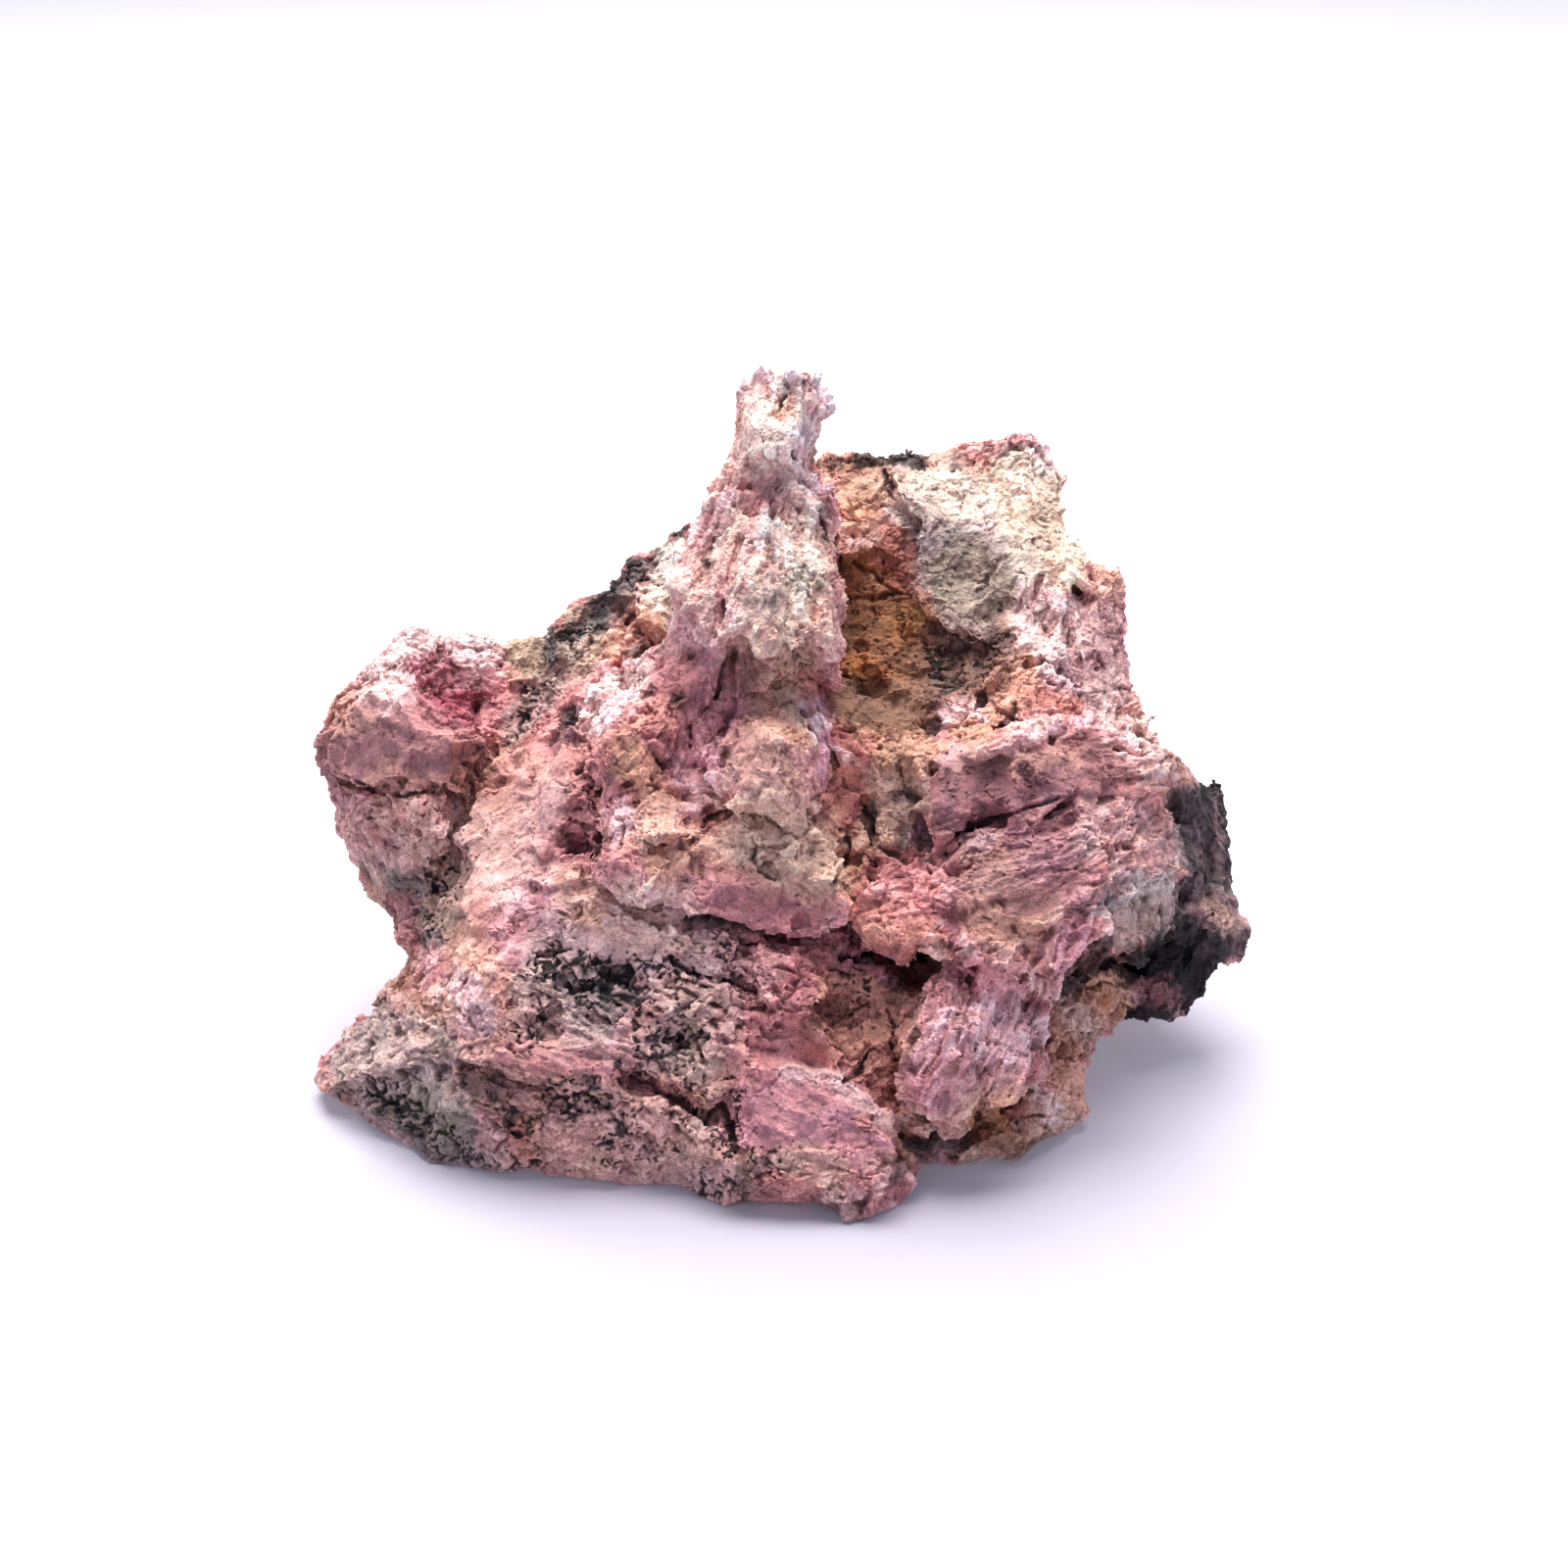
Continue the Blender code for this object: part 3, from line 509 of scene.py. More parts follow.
# %% Ledges: lift, sink and lean in mm, how far they reach, then the path
LEDGES = [
    (1.0, 1.4, 1.4, 3.2, [(940, 812), (955, 838), (990, 842), (1021, 828), (1045, 820)]),
    (0.6, 0.4, 0.6, 1.8, [(1045, 820), (1083, 811), (1120, 803), (1158, 808), (1188, 803)]),
    (0.6, 0.5, 0.5, 2.0, [
        (963, 778), (1000, 772), (1021, 766), (1055, 752), (1100, 744), (1140, 752), (1162, 780),
    ]),
    (1.0, 1.6, 0.8, 3.0, [
        (692, 592), (697, 614), (715, 640), (735, 655), (750, 643), (762, 641), (768, 659), (785, 660), (800, 643),
        (822, 641), (832, 660), (837, 680),
    ]),
    (0.9, 1.0, 0.8, 2.4, [(722, 780), (731, 796), (756, 812), (790, 816), (812, 818)]),
    (0.4, 0.5, 0.3, 1.8, [(704, 744), (716, 722), (730, 700), (740, 664)]),
    (0.9, 1.0, 0.7, 2.2, [(598, 750), (612, 722), (634, 690), (660, 684)]),
    (0.3, 0.4, 0.3, 2.0, [(560, 902), (600, 898), (650, 902), (700, 925)]),
    (0.8, 1.0, 0.6, 2.2, [(716, 930), (740, 934), (770, 948), (800, 952), (840, 935), (866, 910)]),
    (1.0, 0.8, 1.0, 2.0, [(616, 820), (612, 850), (622, 872), (640, 888), (655, 900)]),
    (0.8, 0.5, 0.7, 2.0, [(566, 874), (590, 880), (620, 886), (650, 898)]),
    (0.9, 1.3, 0.9, 2.6, [(882, 940), (895, 966), (915, 968), (940, 952), (975, 962), (1000, 970), (1030, 975)]),
    (0.8, 1.2, 0.8, 2.4, [(1008, 1000), (1040, 1010), (1070, 1000), (1085, 960), (1110, 935)]),
    (0.9, 1.3, 0.9, 2.6, [
        (930, 1140), (960, 1144), (990, 1128), (1024, 1112), (1050, 1096), (1070, 1060), (1070, 1020),
    ]),
    (0.8, 1.2, 0.6, 2.2, [(950, 1002), (930, 1050), (924, 1080), (930, 1130)]),
    (0.5, 0.8, 0.4, 2.2, [(915, 1148), (880, 1112), (850, 1092), (800, 1080), (769, 1072)]),
    (0.5, 0.6, 0.3, 2.0, [(768, 975), (770, 1010), (790, 1038), (812, 1036), (838, 1010)]),
    (0.6, 0.6, 0.4, 2.6, [
        (340, 1110), (368, 1098), (410, 1086), (459, 1073), (510, 1088), (569, 1104), (640, 1108),
    ]),
    (0.4, 0.5, 0.4, 1.8, [
        (350, 790), (375, 803), (395, 790), (415, 784), (440, 792), (455, 800), (475, 812), (496, 806),
    ]),
    (0.3, 0.4, 0.2, 1.8, [(508, 690), (490, 720), (476, 742), (450, 744), (430, 730), (424, 700), (434, 676)]),
    (0.8, 1.0, 0.7, 2.4, [(915, 500), (938, 530), (940, 560), (932, 590), (945, 620), (990, 650)]),
    (0.7, 0.8, 0.6, 2.2, [(1052, 600), (1060, 580), (1098, 588)]),
    (0.7, 0.8, 0.6, 1.8, [(1113, 916), (1122, 880), (1112, 840), (1116, 816)]),
    (0.6, 0.8, 0.5, 1.8, [(1060, 1010), (1076, 980), (1090, 950), (1108, 930)]),
    (0.8, 0.9, 0.6, 2.2, [(1118, 936), (1150, 900), (1190, 880)]),
    (0.8, 1.0, 0.8, 2.0, [(1150, 965), (1185, 948), (1215, 960), (1250, 972)]),
    (0.6, 0.8, 0.5, 1.8, [(1010, 700), (1022, 690), (1050, 672), (1076, 680)]),
    (0.7, 0.8, 0.6, 1.8, [(856, 905), (850, 880), (830, 845), (806, 822)]),
    (0.6, 0.8, 0.5, 1.8, [(780, 700), (800, 690), (825, 715), (832, 745)]),
    (0.5, 0.6, 0.4, 1.8, [(1130, 590), (1104, 620), (1096, 660), (1104, 700)]),
]


# %% Carve the named forms into the stone
def carve_paths(points, places, normals, forms):
    """Moves that raise the stone along each path. The places are the points with a ragged shift."""
    moves = np.zeros_like(points)
    for width, height, pixels in forms:
        path = path_points(pixels)
        near = near_box(places, path, width * 3)
        distance = distance_to(places[near], path)
        moves[near] += normals[near] * (height * np.exp(-((distance / width) ** 2)))[:, None]
    return moves


# %% Find the broken faces and press them flat
def inside_outline(flat, pixels):
    """How far inside an outline points are, in mm, as the eye sees them. Outside it is minus."""
    corners = (np.array(pixels) - PHOTO_SIDE / 2) * PIXEL * (1, -1)
    best = np.full(len(flat), np.inf)
    odd = np.zeros(len(flat), dtype=bool)
    for start, end in zip(corners, np.roll(corners, -1, axis=0)):
        run = end - start
        offset = flat - start
        part = np.clip(offset @ run / (run @ run), 0, 1)
        best = np.minimum(best, np.linalg.norm(offset - part[:, None] * run, axis=1))
        spans = (start[1] > flat[:, 1]) != (end[1] > flat[:, 1])
        odd ^= spans & (offset[:, 0] < run[0] * offset[:, 1] / (run[1] or 1e-9))
    return np.where(odd, best, -best)


FACE_REACH_MM = 2.0
MOST_PRESS_MM = 1.5


def find_face(places, normals, pixels):
    """The points on and just around a named face, and how far inside it they are."""
    around = path_points(pixels + pixels[:1])
    near = near_box(places, around, FACE_REACH_MM)
    near = near[normals[near] @ NEAR > 0]
    return near, inside_outline(in_photo(places[near])[:, :2], pixels)


def carve_faces(points, places, normals):
    """Moves that lift each named face and press it onto its own mean plane."""
    moves = np.zeros_like(points)
    for lift, flatness, _, _, _, pixels in FACES:
        near, depth = find_face(places, normals, pixels)
        share = ramp(depth, -0.15, 0.3)
        way = share @ normals[near]
        way /= np.linalg.norm(way)
        middle = share @ points[near] / share.sum()
        height = np.clip((points[near] - middle) @ way, -MOST_PRESS_MM, MOST_PRESS_MM)
        moves[near] += np.outer((lift - height * flatness) * share, way)
    return moves


# %% Raise and undercut the ledges
EDGE_MM = 0.18


def carve_ledges(points, places, normals):
    """Moves that raise one side of each path, lean it over the edge and sink the other side."""
    moves = np.zeros_like(points)
    for lift, sink, lean, reach, pixels in LEDGES:
        path = path_points(pixels)
        near = near_box(places, path, reach * 2.5)
        distance = distance_to(places[near], path)
        side = side_of(places[near], path)
        left = ramp(side, -EDGE_MM, EDGE_MM)
        fade = np.exp(-((distance / reach) ** 2)) * (distance < reach * 2.5)
        lip = np.exp(-((distance / (reach / 2)) ** 2))
        height = (left * lift - (1 - left) * sink) * fade
        over = -np.outer(left * lip * lean, UP)
        moves[near] += normals[near] * height[:, None] + over
    return moves


# %% Break round forms into flat ones
def angular(mesh, count):
    """The same skin in far fewer faces, each wherever it fits best. It turns round forms into broken ones."""
    return modified(mesh, ("DECIMATE", {"ratio": count / (2 * len(mesh.polygons))}))


# %% The coarse stone: softened, then broken into rough flats
SOFTEN_MM = 0.4
SWELL_MM = 0.05
coarse_voxel = 0.3
block = new_skin(solid.data, coarse_voxel)
block_edges = edges_of(block)
block_points = calmed(points_of(block), block_edges, round((SOFTEN_MM / coarse_voxel) ** 2 * 6))
move_to(block, block_points)
block_normals = normals_of(block)
block_points += block_normals * SWELL_MM
rough_places = drift(drift(block_points, 4.0, 0.5, 5), 1.2, 0.2, 6)
block_points += limited(flattening(rough_places, block_normals, 5.0, 1), 0.9) * 0.75
block_points += block_normals * (noise(block_points, 3.0, 13) * 0.3)[:, None]
move_to(block, block_points)
print("coarse stone:", len(block.vertices), "points")

# %% Carve everything that was named
ragged = drift(drift(block_points, 3.0, 0.4, 1), 0.9, 0.2, 2)
traced = drift(block_points, 0.9, 0.12, 2)
base_height = ramp(block_points[:, 2], 0.3, 2.0)[:, None]
sunk = [(width, -depth, path) for width, depth, path in PITS]
split = [(width, -depth, path) for width, depth, path in CRACKS]
block_points += carve_paths(block_points, ragged, block_normals, sunk + LUMPS) * base_height
block_points += carve_faces(block_points, traced, block_normals) * base_height
block_points += carve_ledges(block_points, traced, block_normals) * base_height
block_points += carve_paths(block_points, traced, block_normals, split) * base_height
relief_above = block_points - calmed(block_points, block_edges, round(2.4 / coarse_voxel**2))
block_points += limited(relief_above, 0.6) * base_height
move_to(block, block_points)
FACE_COUNT = 26000
facets = angular(block, FACE_COUNT)
print("carved, and made angular:", len(facets.polygons), "faces")

# %% [markdown]
# ## Splinters
# Where a bundle of fibres broke, its blades stick up like splinters of wood. They are small slanted bars that
# are laid on the stone along the fibres of their zone, one end sunk and the other standing out. The next skin
# is drawn around the stone and the bars together, so they become part of it.

# %% Splinters: count, length, width and lift in mm, whether the tip is free, then two lines of pixels
SPLINTERS = [
    # The spire: its skirt, its hem, its head and the tips on top
    (110, 4.4, 0.9, 0.35, False, [(738, 508), (832, 508)], [(692, 612), (852, 640)]),
    (26, 2.4, 0.9, 0.2, True, [(700, 596), (850, 640)], [(692, 630), (852, 668)]),
    (46, 2.6, 0.6, 0.25, False, [(762, 470), (826, 470)], [(768, 392), (838, 392)]),
    (22, 1.6, 0.45, 0.1, True, [(770, 398), (834, 402)], [(766, 380), (840, 380)]),
    (24, 2.6, 0.8, 0.3, False, [(700, 690), (740, 690)], [(690, 740), (735, 780)]),
    # The wing, the tuft and the lump under the slab
    (60, 3.0, 0.7, 0.3, False, [(1115, 885), (1115, 815)], [(1190, 860), (1190, 805)]),
    (30, 1.8, 0.5, 0.2, True, [(1156, 732), (1182, 860)], [(1172, 722), (1200, 852)]),
    (50, 3.4, 0.9, 0.25, False, [(985, 905), (1000, 850)], [(1110, 870), (1110, 840)]),
    (40, 2.4, 0.8, 0.3, False, [(1130, 730), (1110, 800)], [(1180, 725), (1190, 800)]),
    # The pink block, the column behind and the bands of the front
    (80, 4.0, 0.8, 0.3, False, [(925, 1135), (1055, 1110)], [(950, 1005), (1075, 1010)]),
    (50, 3.6, 0.8, 0.3, False, [(1060, 690), (1125, 700)], [(1065, 600), (1135, 590)]),
    (50, 4.5, 0.7, 0.2, False, [(500, 1075), (540, 1110)], [(640, 1040), (680, 1090)]),
    (34, 3.6, 0.8, 0.25, False, [(780, 1085), (770, 1150)], [(900, 1120), (900, 1190)]),
    (30, 3.0, 0.8, 0.3, False, [(1070, 1000), (1085, 935)], [(1060, 1020), (1110, 930)]),
    # The left lobe and the lumps of the middle
    (24, 2.6, 1.0, 0.25, False, [(370, 900), (350, 820)], [(460, 860), (450, 820)]),
    (20, 2.0, 0.9, 0.2, False, [(390, 690), (480, 690)], [(400, 660), (490, 664)]),
    (24, 3.0, 1.1, 0.2, False, [(600, 750), (590, 890)], [(720, 740), (700, 890)]),
    (24, 3.0, 1.0, 0.2, False, [(500, 1000), (470, 1080)], [(620, 960), (720, 1050)]),
    (20, 2.4, 0.9, 0.2, False, [(880, 900), (880, 960)], [(990, 900), (1060, 970)]),
    (24, 3.0, 1.0, 0.2, False, [(640, 1130), (660, 1190)], [(860, 1170), (860, 1230)]),
    # The columns of the black oxide
    (30, 7.0, 2.0, 0.3, False, [(1200, 905), (1252, 905)], [(1200, 800), (1246, 812)]),
    (22, 4.0, 1.8, 0.3, False, [(1150, 1035), (1225, 1010)], [(1165, 960), (1262, 950)]),
]

# %% Lay the splinters on the stone
SUNK_END_MM = 0.35
ROOT_MM = 0.8
TIP_SHARE = 0.55
FLAT_SHARE = 0.55
BAR_SIDES = ((0, 3, 2, 1), (4, 5, 6, 7), (0, 1, 5, 4), (1, 2, 6, 5), (2, 3, 7, 6), (3, 0, 4, 7))


def lay_splinters(mesh, strokes, seed):
    """The mesh together with its splinters, as one mesh of many closed shells."""
    corners = [tuple(vertex.co) for vertex in mesh.vertices]
    sides = [tuple(face.vertices) for face in mesh.polygons]
    tree = BVHTree.FromPolygons(corners, sides)
    dice = np.random.default_rng(seed)
    laid = 0
    for count, length, width, lift, is_free, bottom, top in strokes:
        for _ in range(count):
            across, along, long, wide, roll = dice.random(5)
            low, high = [np.array(line[0]) * (1 - across) + np.array(line[1]) * across for line in (bottom, top)]
            run = (high - low) / np.linalg.norm(high - low)
            # A free splinter starts near the bottom line, and its tip leaves the stone
            start_pixel = low + (high - low) * along * (0.3 if is_free else 0.9)
            end_pixel = start_pixel + run * length * (0.5 + 0.6 * long) / PIXEL
            start = touch(*start_pixel, tree)
            shift = (end_pixel - start_pixel) * PIXEL
            end = start + RIGHT * shift[0] - UP * shift[1] if is_free else touch(*end_pixel, tree)
            _, out, _, _ = tree.find_nearest(Vector(start * MM))
            out = np.array(out)
            axis = end - start
            if not 0.3 < np.linalg.norm(axis) < length * 1.6:
                continue
            axis /= np.linalg.norm(axis)
            side = np.cross(axis, out)
            side /= max(np.linalg.norm(side), 1e-6)
            lean = (roll - 0.5) * 1.6
            side = side * math.cos(lean) + np.cross(axis, side) * math.sin(lean)
            rise = np.cross(side, axis)
            # Half a width, so the bars are from 0.7 to 1.5 times as wide as named
            half = width * (0.35 + 0.4 * wide)
            first = len(corners)
            for centre, share, height in ((start, 1.0, -SUNK_END_MM), (end, TIP_SHARE, lift)):
                for way, up in ((-1, -1), (1, -1), (1, 1), (-1, 1)):
                    slip = axis * (dice.random() - 0.5) * width * 1.2
                    corner = centre + out * height + side * way * half * share
                    corner = corner + rise * up * half * FLAT_SHARE * share + slip
                    if up < 0 and not is_free:
                        corner -= out * ROOT_MM
                    corners.append(tuple(corner * MM))
            sides += [tuple(first + i for i in quad) for quad in BAR_SIDES]
            laid += 1
    made = bpy.data.meshes.new("splintered")
    made.from_pydata(corners, [], sides)
    print("splinters:", laid)
    return made


facets = lay_splinters(facets, SPLINTERS, 5)

# %% [markdown]
# ## Minerals
# The zones of the stone are painted by place, each as a few spots and strokes in pixels with a radius in mm.
# A ragged shift of the points gives the zones their natural borders. They serve twice: a mineral has both
# its own way of breaking, which is carved, and its own colour.

# %% Where the stone breaks in which way: radius in mm, then a path of pixels
TEXTURES = {
    "smooth": [
        (3.6, [(400, 735), (440, 760), (370, 765)]), (3.4, [(550, 790), (520, 840), (490, 890), (470, 940)]),
        (2.4, [(560, 890), (530, 920), (520, 960)]), (3.0, [(960, 805), (1010, 800), (1060, 780), (1120, 770)]),
        (2.4, [(1000, 825), (1150, 790)]), (3.2, [(790, 1130), (840, 1140), (880, 1150)]), (1.6, [(845, 1115)]),
        (2.4, [(710, 900), (760, 915), (820, 915)]), (2.2, [(695, 680), (720, 680)]),
        (2.0, [(600, 960), (660, 970)]), (2.6, [(1060, 860), (1090, 880), (1040, 850)]),
        (1.6, [(835, 720), (842, 760)]), (1.5, [(673, 610), (690, 565)]), (2.2, [(870, 722), (915, 718)]),
        (2.0, [(700, 790), (700, 815)]), (2.4, [(800, 1090), (820, 1070)]), (2.0, [(600, 1080), (560, 1075)]),
        (2.4, [(1030, 905), (1060, 920)]),
    ],
    "silky": [
        (5.0, [(760, 530), (740, 590), (800, 600), (830, 610)]), (2.6, [(720, 540), (700, 600)]),
        (3.6, [(800, 395), (815, 410)]), (4.6, [(990, 1040), (1030, 1060), (970, 1100)]),
        (3.4, [(1150, 850), (1130, 890)]), (2.6, [(1090, 950), (1075, 1000)]), (3.0, [(1140, 740), (1160, 770)]),
        (3.6, [(1040, 880), (1080, 850), (1000, 870)]), (2.8, [(1080, 630), (1090, 600)]),
        (1.8, [(835, 720), (845, 780)]), (3.0, [(740, 700), (720, 740), (715, 780)]),
        (3.0, [(930, 990), (890, 985)]), (3.6, [(650, 1040), (620, 1060)]), (3.4, [(540, 1090), (620, 1080)]),
        (3.0, [(620, 650), (600, 690), (580, 710)]), (2.6, [(920, 1180), (960, 1150)]),
        (3.0, [(400, 860), (380, 900)]),
    ],
    "rind": [
        (3.2, [(780, 430), (785, 465)]), (2.6, [(700, 570), (715, 600)]), (3.0, [(790, 640), (750, 650)]),
        (3.2, [(790, 720), (810, 740)]), (2.4, [(780, 760), (770, 785)]), (2.6, [(650, 840), (665, 870)]),
        (3.4, [(780, 850), (830, 880), (800, 830)]), (3.6, [(1040, 690), (1060, 730), (1000, 740)]),
        (3.2, [(900, 930), (930, 955)]), (3.2, [(1010, 930), (1040, 960)]), (3.0, [(480, 990), (500, 1030)]),
        (3.0, [(1060, 490), (1075, 540)]), (2.8, [(1115, 595), (1130, 640), (1120, 690)]),
        (3.0, [(860, 790), (870, 840)]), (3.2, [(915, 800), (910, 850)]), (2.6, [(640, 780)]),
        (2.4, [(620, 720), (610, 745)]), (2.4, [(1005, 985), (1030, 990)]), (3.0, [(600, 910), (640, 930)]),
        (3.0, [(700, 880), (680, 895)]),
    ],
    "crumbs": [
        (3.8, [(870, 600), (880, 660), (930, 650)]), (3.0, [(870, 500), (890, 520), (930, 550)]),
        (3.6, [(960, 670), (990, 690), (950, 730)]), (3.0, [(1110, 1000), (1100, 1050)]),
        (3.6, [(1000, 1160), (1050, 1140), (1090, 1120)]), (2.6, [(410, 890), (450, 900), (445, 940)]),
        (3.0, [(560, 670), (590, 650), (530, 710)]), (2.0, [(640, 600), (660, 580), (690, 545)]),
        (3.2, [(430, 1130), (460, 1160), (400, 1110)]), (2.6, [(940, 770), (930, 740)]),
        (2.4, [(850, 1030), (880, 1030)]), (2.2, [(1120, 950), (1160, 930)]),
    ],
    "felt": [
        (4.2, [(960, 510), (990, 540), (1010, 590)]), (3.0, [(960, 590), (990, 620)]),
        (3.0, [(1030, 520), (1060, 560)]),
    ],
    "upright": [
        (6.0, [(1225, 830), (1230, 880), (1225, 940)]), (4.5, [(1180, 970), (1210, 1000)]), (3.0, [(1255, 945)]),
    ],
    "network": [
        (2.6, [(570, 990), (600, 1000), (640, 1020)]), (1.8, [(640, 1000), (655, 1040)]),
        (1.6, [(550, 1040), (540, 1060)]), (1.3, [(615, 985), (680, 985), (715, 1000)]),
        (1.4, [(700, 1010), (695, 1030)]), (1.6, [(660, 1065), (690, 1060), (710, 1055)]),
        (1.5, [(640, 1090), (665, 1095), (690, 1075)]), (1.2, [(660, 1105), (700, 1135), (715, 1140)]),
        (1.2, [(752, 1120), (748, 1150), (742, 1170)]), (1.0, [(735, 980), (755, 1003), (770, 1000)]),
        (1.2, [(700, 1110), (720, 1120)]), (1.0, [(740, 1150), (730, 1160)]), (1.1, [(730, 955), (745, 965)]),
        (1.4, [(595, 1110), (610, 1120)]), (1.4, [(520, 1140), (535, 1148)]), (1.6, [(565, 1110), (585, 1130)]),
        (1.6, [(620, 1180), (640, 1150)]), (1.2, [(670, 1178)]), (1.6, [(720, 1208), (740, 1215)]),
        (1.0, [(795, 1185), (770, 1180)]), (1.8, [(450, 1170), (470, 1185)]),
        (1.8, [(380, 1110), (410, 1130), (440, 1150)]), (1.2, [(370, 1035), (390, 1020)]),
        (1.6, [(440, 895), (455, 925), (440, 945)]), (1.2, [(470, 870), (462, 890)]),
        (1.4, [(530, 740), (545, 710)]), (1.4, [(955, 670), (965, 700), (990, 700)]),
        (1.2, [(1010, 660), (1000, 690)]), (1.4, [(850, 1045), (870, 1035)]), (1.2, [(885, 1005), (860, 995)]),
        (1.0, [(770, 1000), (760, 1010)]), (1.3, [(640, 590), (655, 600)]), (1.4, [(560, 655), (590, 650)]),
        (1.2, [(500, 1185), (540, 1190)]),
    ],
}


# %% How far inside a zone each point is
FAR_OUTSIDE = -9.0


def within(places, strokes, edge, depth_share=DEPTH_SHARE):
    """How far inside the nearest stroke each point is, in mm. Far outside it is a large minus."""
    inside = np.full(len(places), FAR_OUTSIDE)
    places = seen(places, depth_share)
    for radius, pixels in strokes:
        path = seen(path_points(pixels), depth_share)
        near = near_box(places, path, radius + edge)
        inside[near] = np.maximum(inside[near], radius - distance_to(places[near], path))
    return inside


# %% The fine skin
fine_voxel = 0.2
skin = new_skin(facets, fine_voxel)
skin_edges = edges_of(skin)
smooth_points = calmed(points_of(skin), skin_edges, 1)
move_to(skin, smooth_points)
normals = normals_of(skin)
places = drift(drift(smooth_points, 3.0, 0.7, 3), 0.9, 0.35, 4)
traced = drift(smooth_points, 0.8, 0.1, 12)
print("fine stone:", len(smooth_points), "points")

# %% Which point breaks in which way
inside = {name: within(places, strokes, 1.0) for name, strokes in TEXTURES.items()}
inside["broken"] = np.full(len(places), FAR_OUTSIDE)
shown_faces = [find_face(traced, normals, face[5]) for face in FACES]
for (_, _, texture, _, _, _), (near, depth) in zip(FACES, shown_faces):
    inside[texture][near] = np.maximum(inside[texture][near], depth)
parts = {name: ramp(value, -0.5, 0.7) for name, value in inside.items()}
print("textures:", {name: round(float(value.mean()), 3) for name, value in parts.items()})

# %% Flat chips, the cracks between them, and wider cracks of the rind
CHIP_MM = 2.2
RIND_CELL_MM = 5.5
rough_places = drift(smooth_points, 1.5, 0.25, 7)
flat_share = 0.7 * (1 - np.maximum(parts["smooth"], parts["silky"]) * 0.8)
smooth_points += limited(flattening(rough_places, normals, CHIP_MM, 2), 0.35) * flat_share[:, None]
small_seams = seams(rough_places + normals * CHIP_MM * TURN_SHARE, CHIP_MM, 2)
large_seams = seams(drift(smooth_points, 4.0, 0.6, 8), RIND_CELL_MM, 3)
print("share of the skin on a small crack:", round(float((small_seams < 0.05).mean()), 3))

# %% [markdown]
# ## Grain
# Every mineral breaks in its own way. Inesite splits into blades along its fibres, the oxidised rind is
# lumpy and cracked, the black oxide comes off in upright blocks, and the rusty matrix crumbles.
# Each way is a sum of a few textures at the sizes that a ruler would find on the stone, in mm.

# %% Sprays of fibres: the way they run, their middle in pixels, and their reach in mm
FIBRE_WAYS = [
    (RIGHT * 0.35 + UP * 1.0, (745, 560), 9.0),
    (RIGHT * 0.05 + UP * 1.0, (825, 590), 7.0),
    (RIGHT * 0.1 + UP * 1.0, (800, 400), 9.0),
    (RIGHT * 1.0 + UP * 0.25, (1060, 790), 8.0),
    (RIGHT * 0.9 + UP * 0.35, (1040, 890), 7.0),
    (RIGHT * 0.4 + UP * 0.85, (1000, 1070), 7.5),
    (RIGHT * 0.25 + UP * 1.0, (1100, 630), 7.0),
    (RIGHT * 0.9 + UP * 0.5, (1150, 860), 4.5),
    (RIGHT * 0.35 + UP * 0.9, (1085, 960), 4.0),
    (RIGHT * 0.08 + UP * 1.0, (1225, 890), 12.0),
    (RIGHT * 0.85 - UP * 0.45, (860, 1140), 8.0),
    (RIGHT * 0.9 - UP * 0.35, (620, 1060), 11.0),
    (RIGHT * 0.5 + UP * 0.85, (600, 690), 8.0),
    (RIGHT * 0.5 + UP * 0.85, (500, 860), 9.0),
    (RIGHT * 0.35 + UP * 0.9, (1000, 540), 8.0),
    (RIGHT * 0.2 + UP * 1.0, (730, 720), 6.0),
    (RIGHT * 0.6 - UP * 0.6, (400, 880), 7.0),
    (RIGHT * 0.8 - UP * 0.5, (400, 740), 7.0),
    (RIGHT * 0.9 - UP * 0.3, (760, 920), 9.0),
    (RIGHT * 0.4 - UP * 0.8, (840, 740), 5.0),
    (RIGHT * 0.6 + UP * 0.6, (1040, 700), 7.0),
    (RIGHT * 0.9 - UP * 0.4, (480, 1140), 11.0),
    (RIGHT * 0.7 - UP * 0.6, (720, 1130), 9.0),
    (RIGHT * 0.3 + UP * 0.9, (900, 560), 8.0),
]
REST_WAY = RIGHT * 0.5 + UP * 0.6 + NEAR * 0.3


# %% Space along the fibres
def fibre_space(points, length):
    """Space shortened along the fibres of the nearest spray, and how far along them each point is."""
    space = squeeze(points, REST_WAY, length)
    along = points @ REST_WAY / np.linalg.norm(REST_WAY)
    best = np.full(len(points), 0.25)
    for number, (way, pixel, radius) in enumerate(FIBRE_WAYS):
        middle = touch(*pixel)
        share = np.exp(-((np.linalg.norm(points - middle, axis=1) / radius) ** 2))
        mine = share > best
        space[mine] = squeeze(points[mine] - middle, way, length) + number * 17.3
        along[mine] = (points[mine] - middle) @ way / np.linalg.norm(way)
        best[mine] = share[mine]
    return space, along


# %% Broken ends and broken layers
def teeth(values):
    """A slow rise and a sudden drop, over and over: from 0 to 1."""
    return values - np.floor(values)


def broken_ends(space, along, width, length, seed):
    """Bundles of fibres, each of which rises to its own broken end and drops there. -0.5 to 0.5"""
    phase = read_texture(space / width + seed * 2.9, "ShaderNodeTexVoronoi", ["Color"], Scale=1.0)[0][:, 0]
    return teeth(along / length + phase * 3) - 0.5


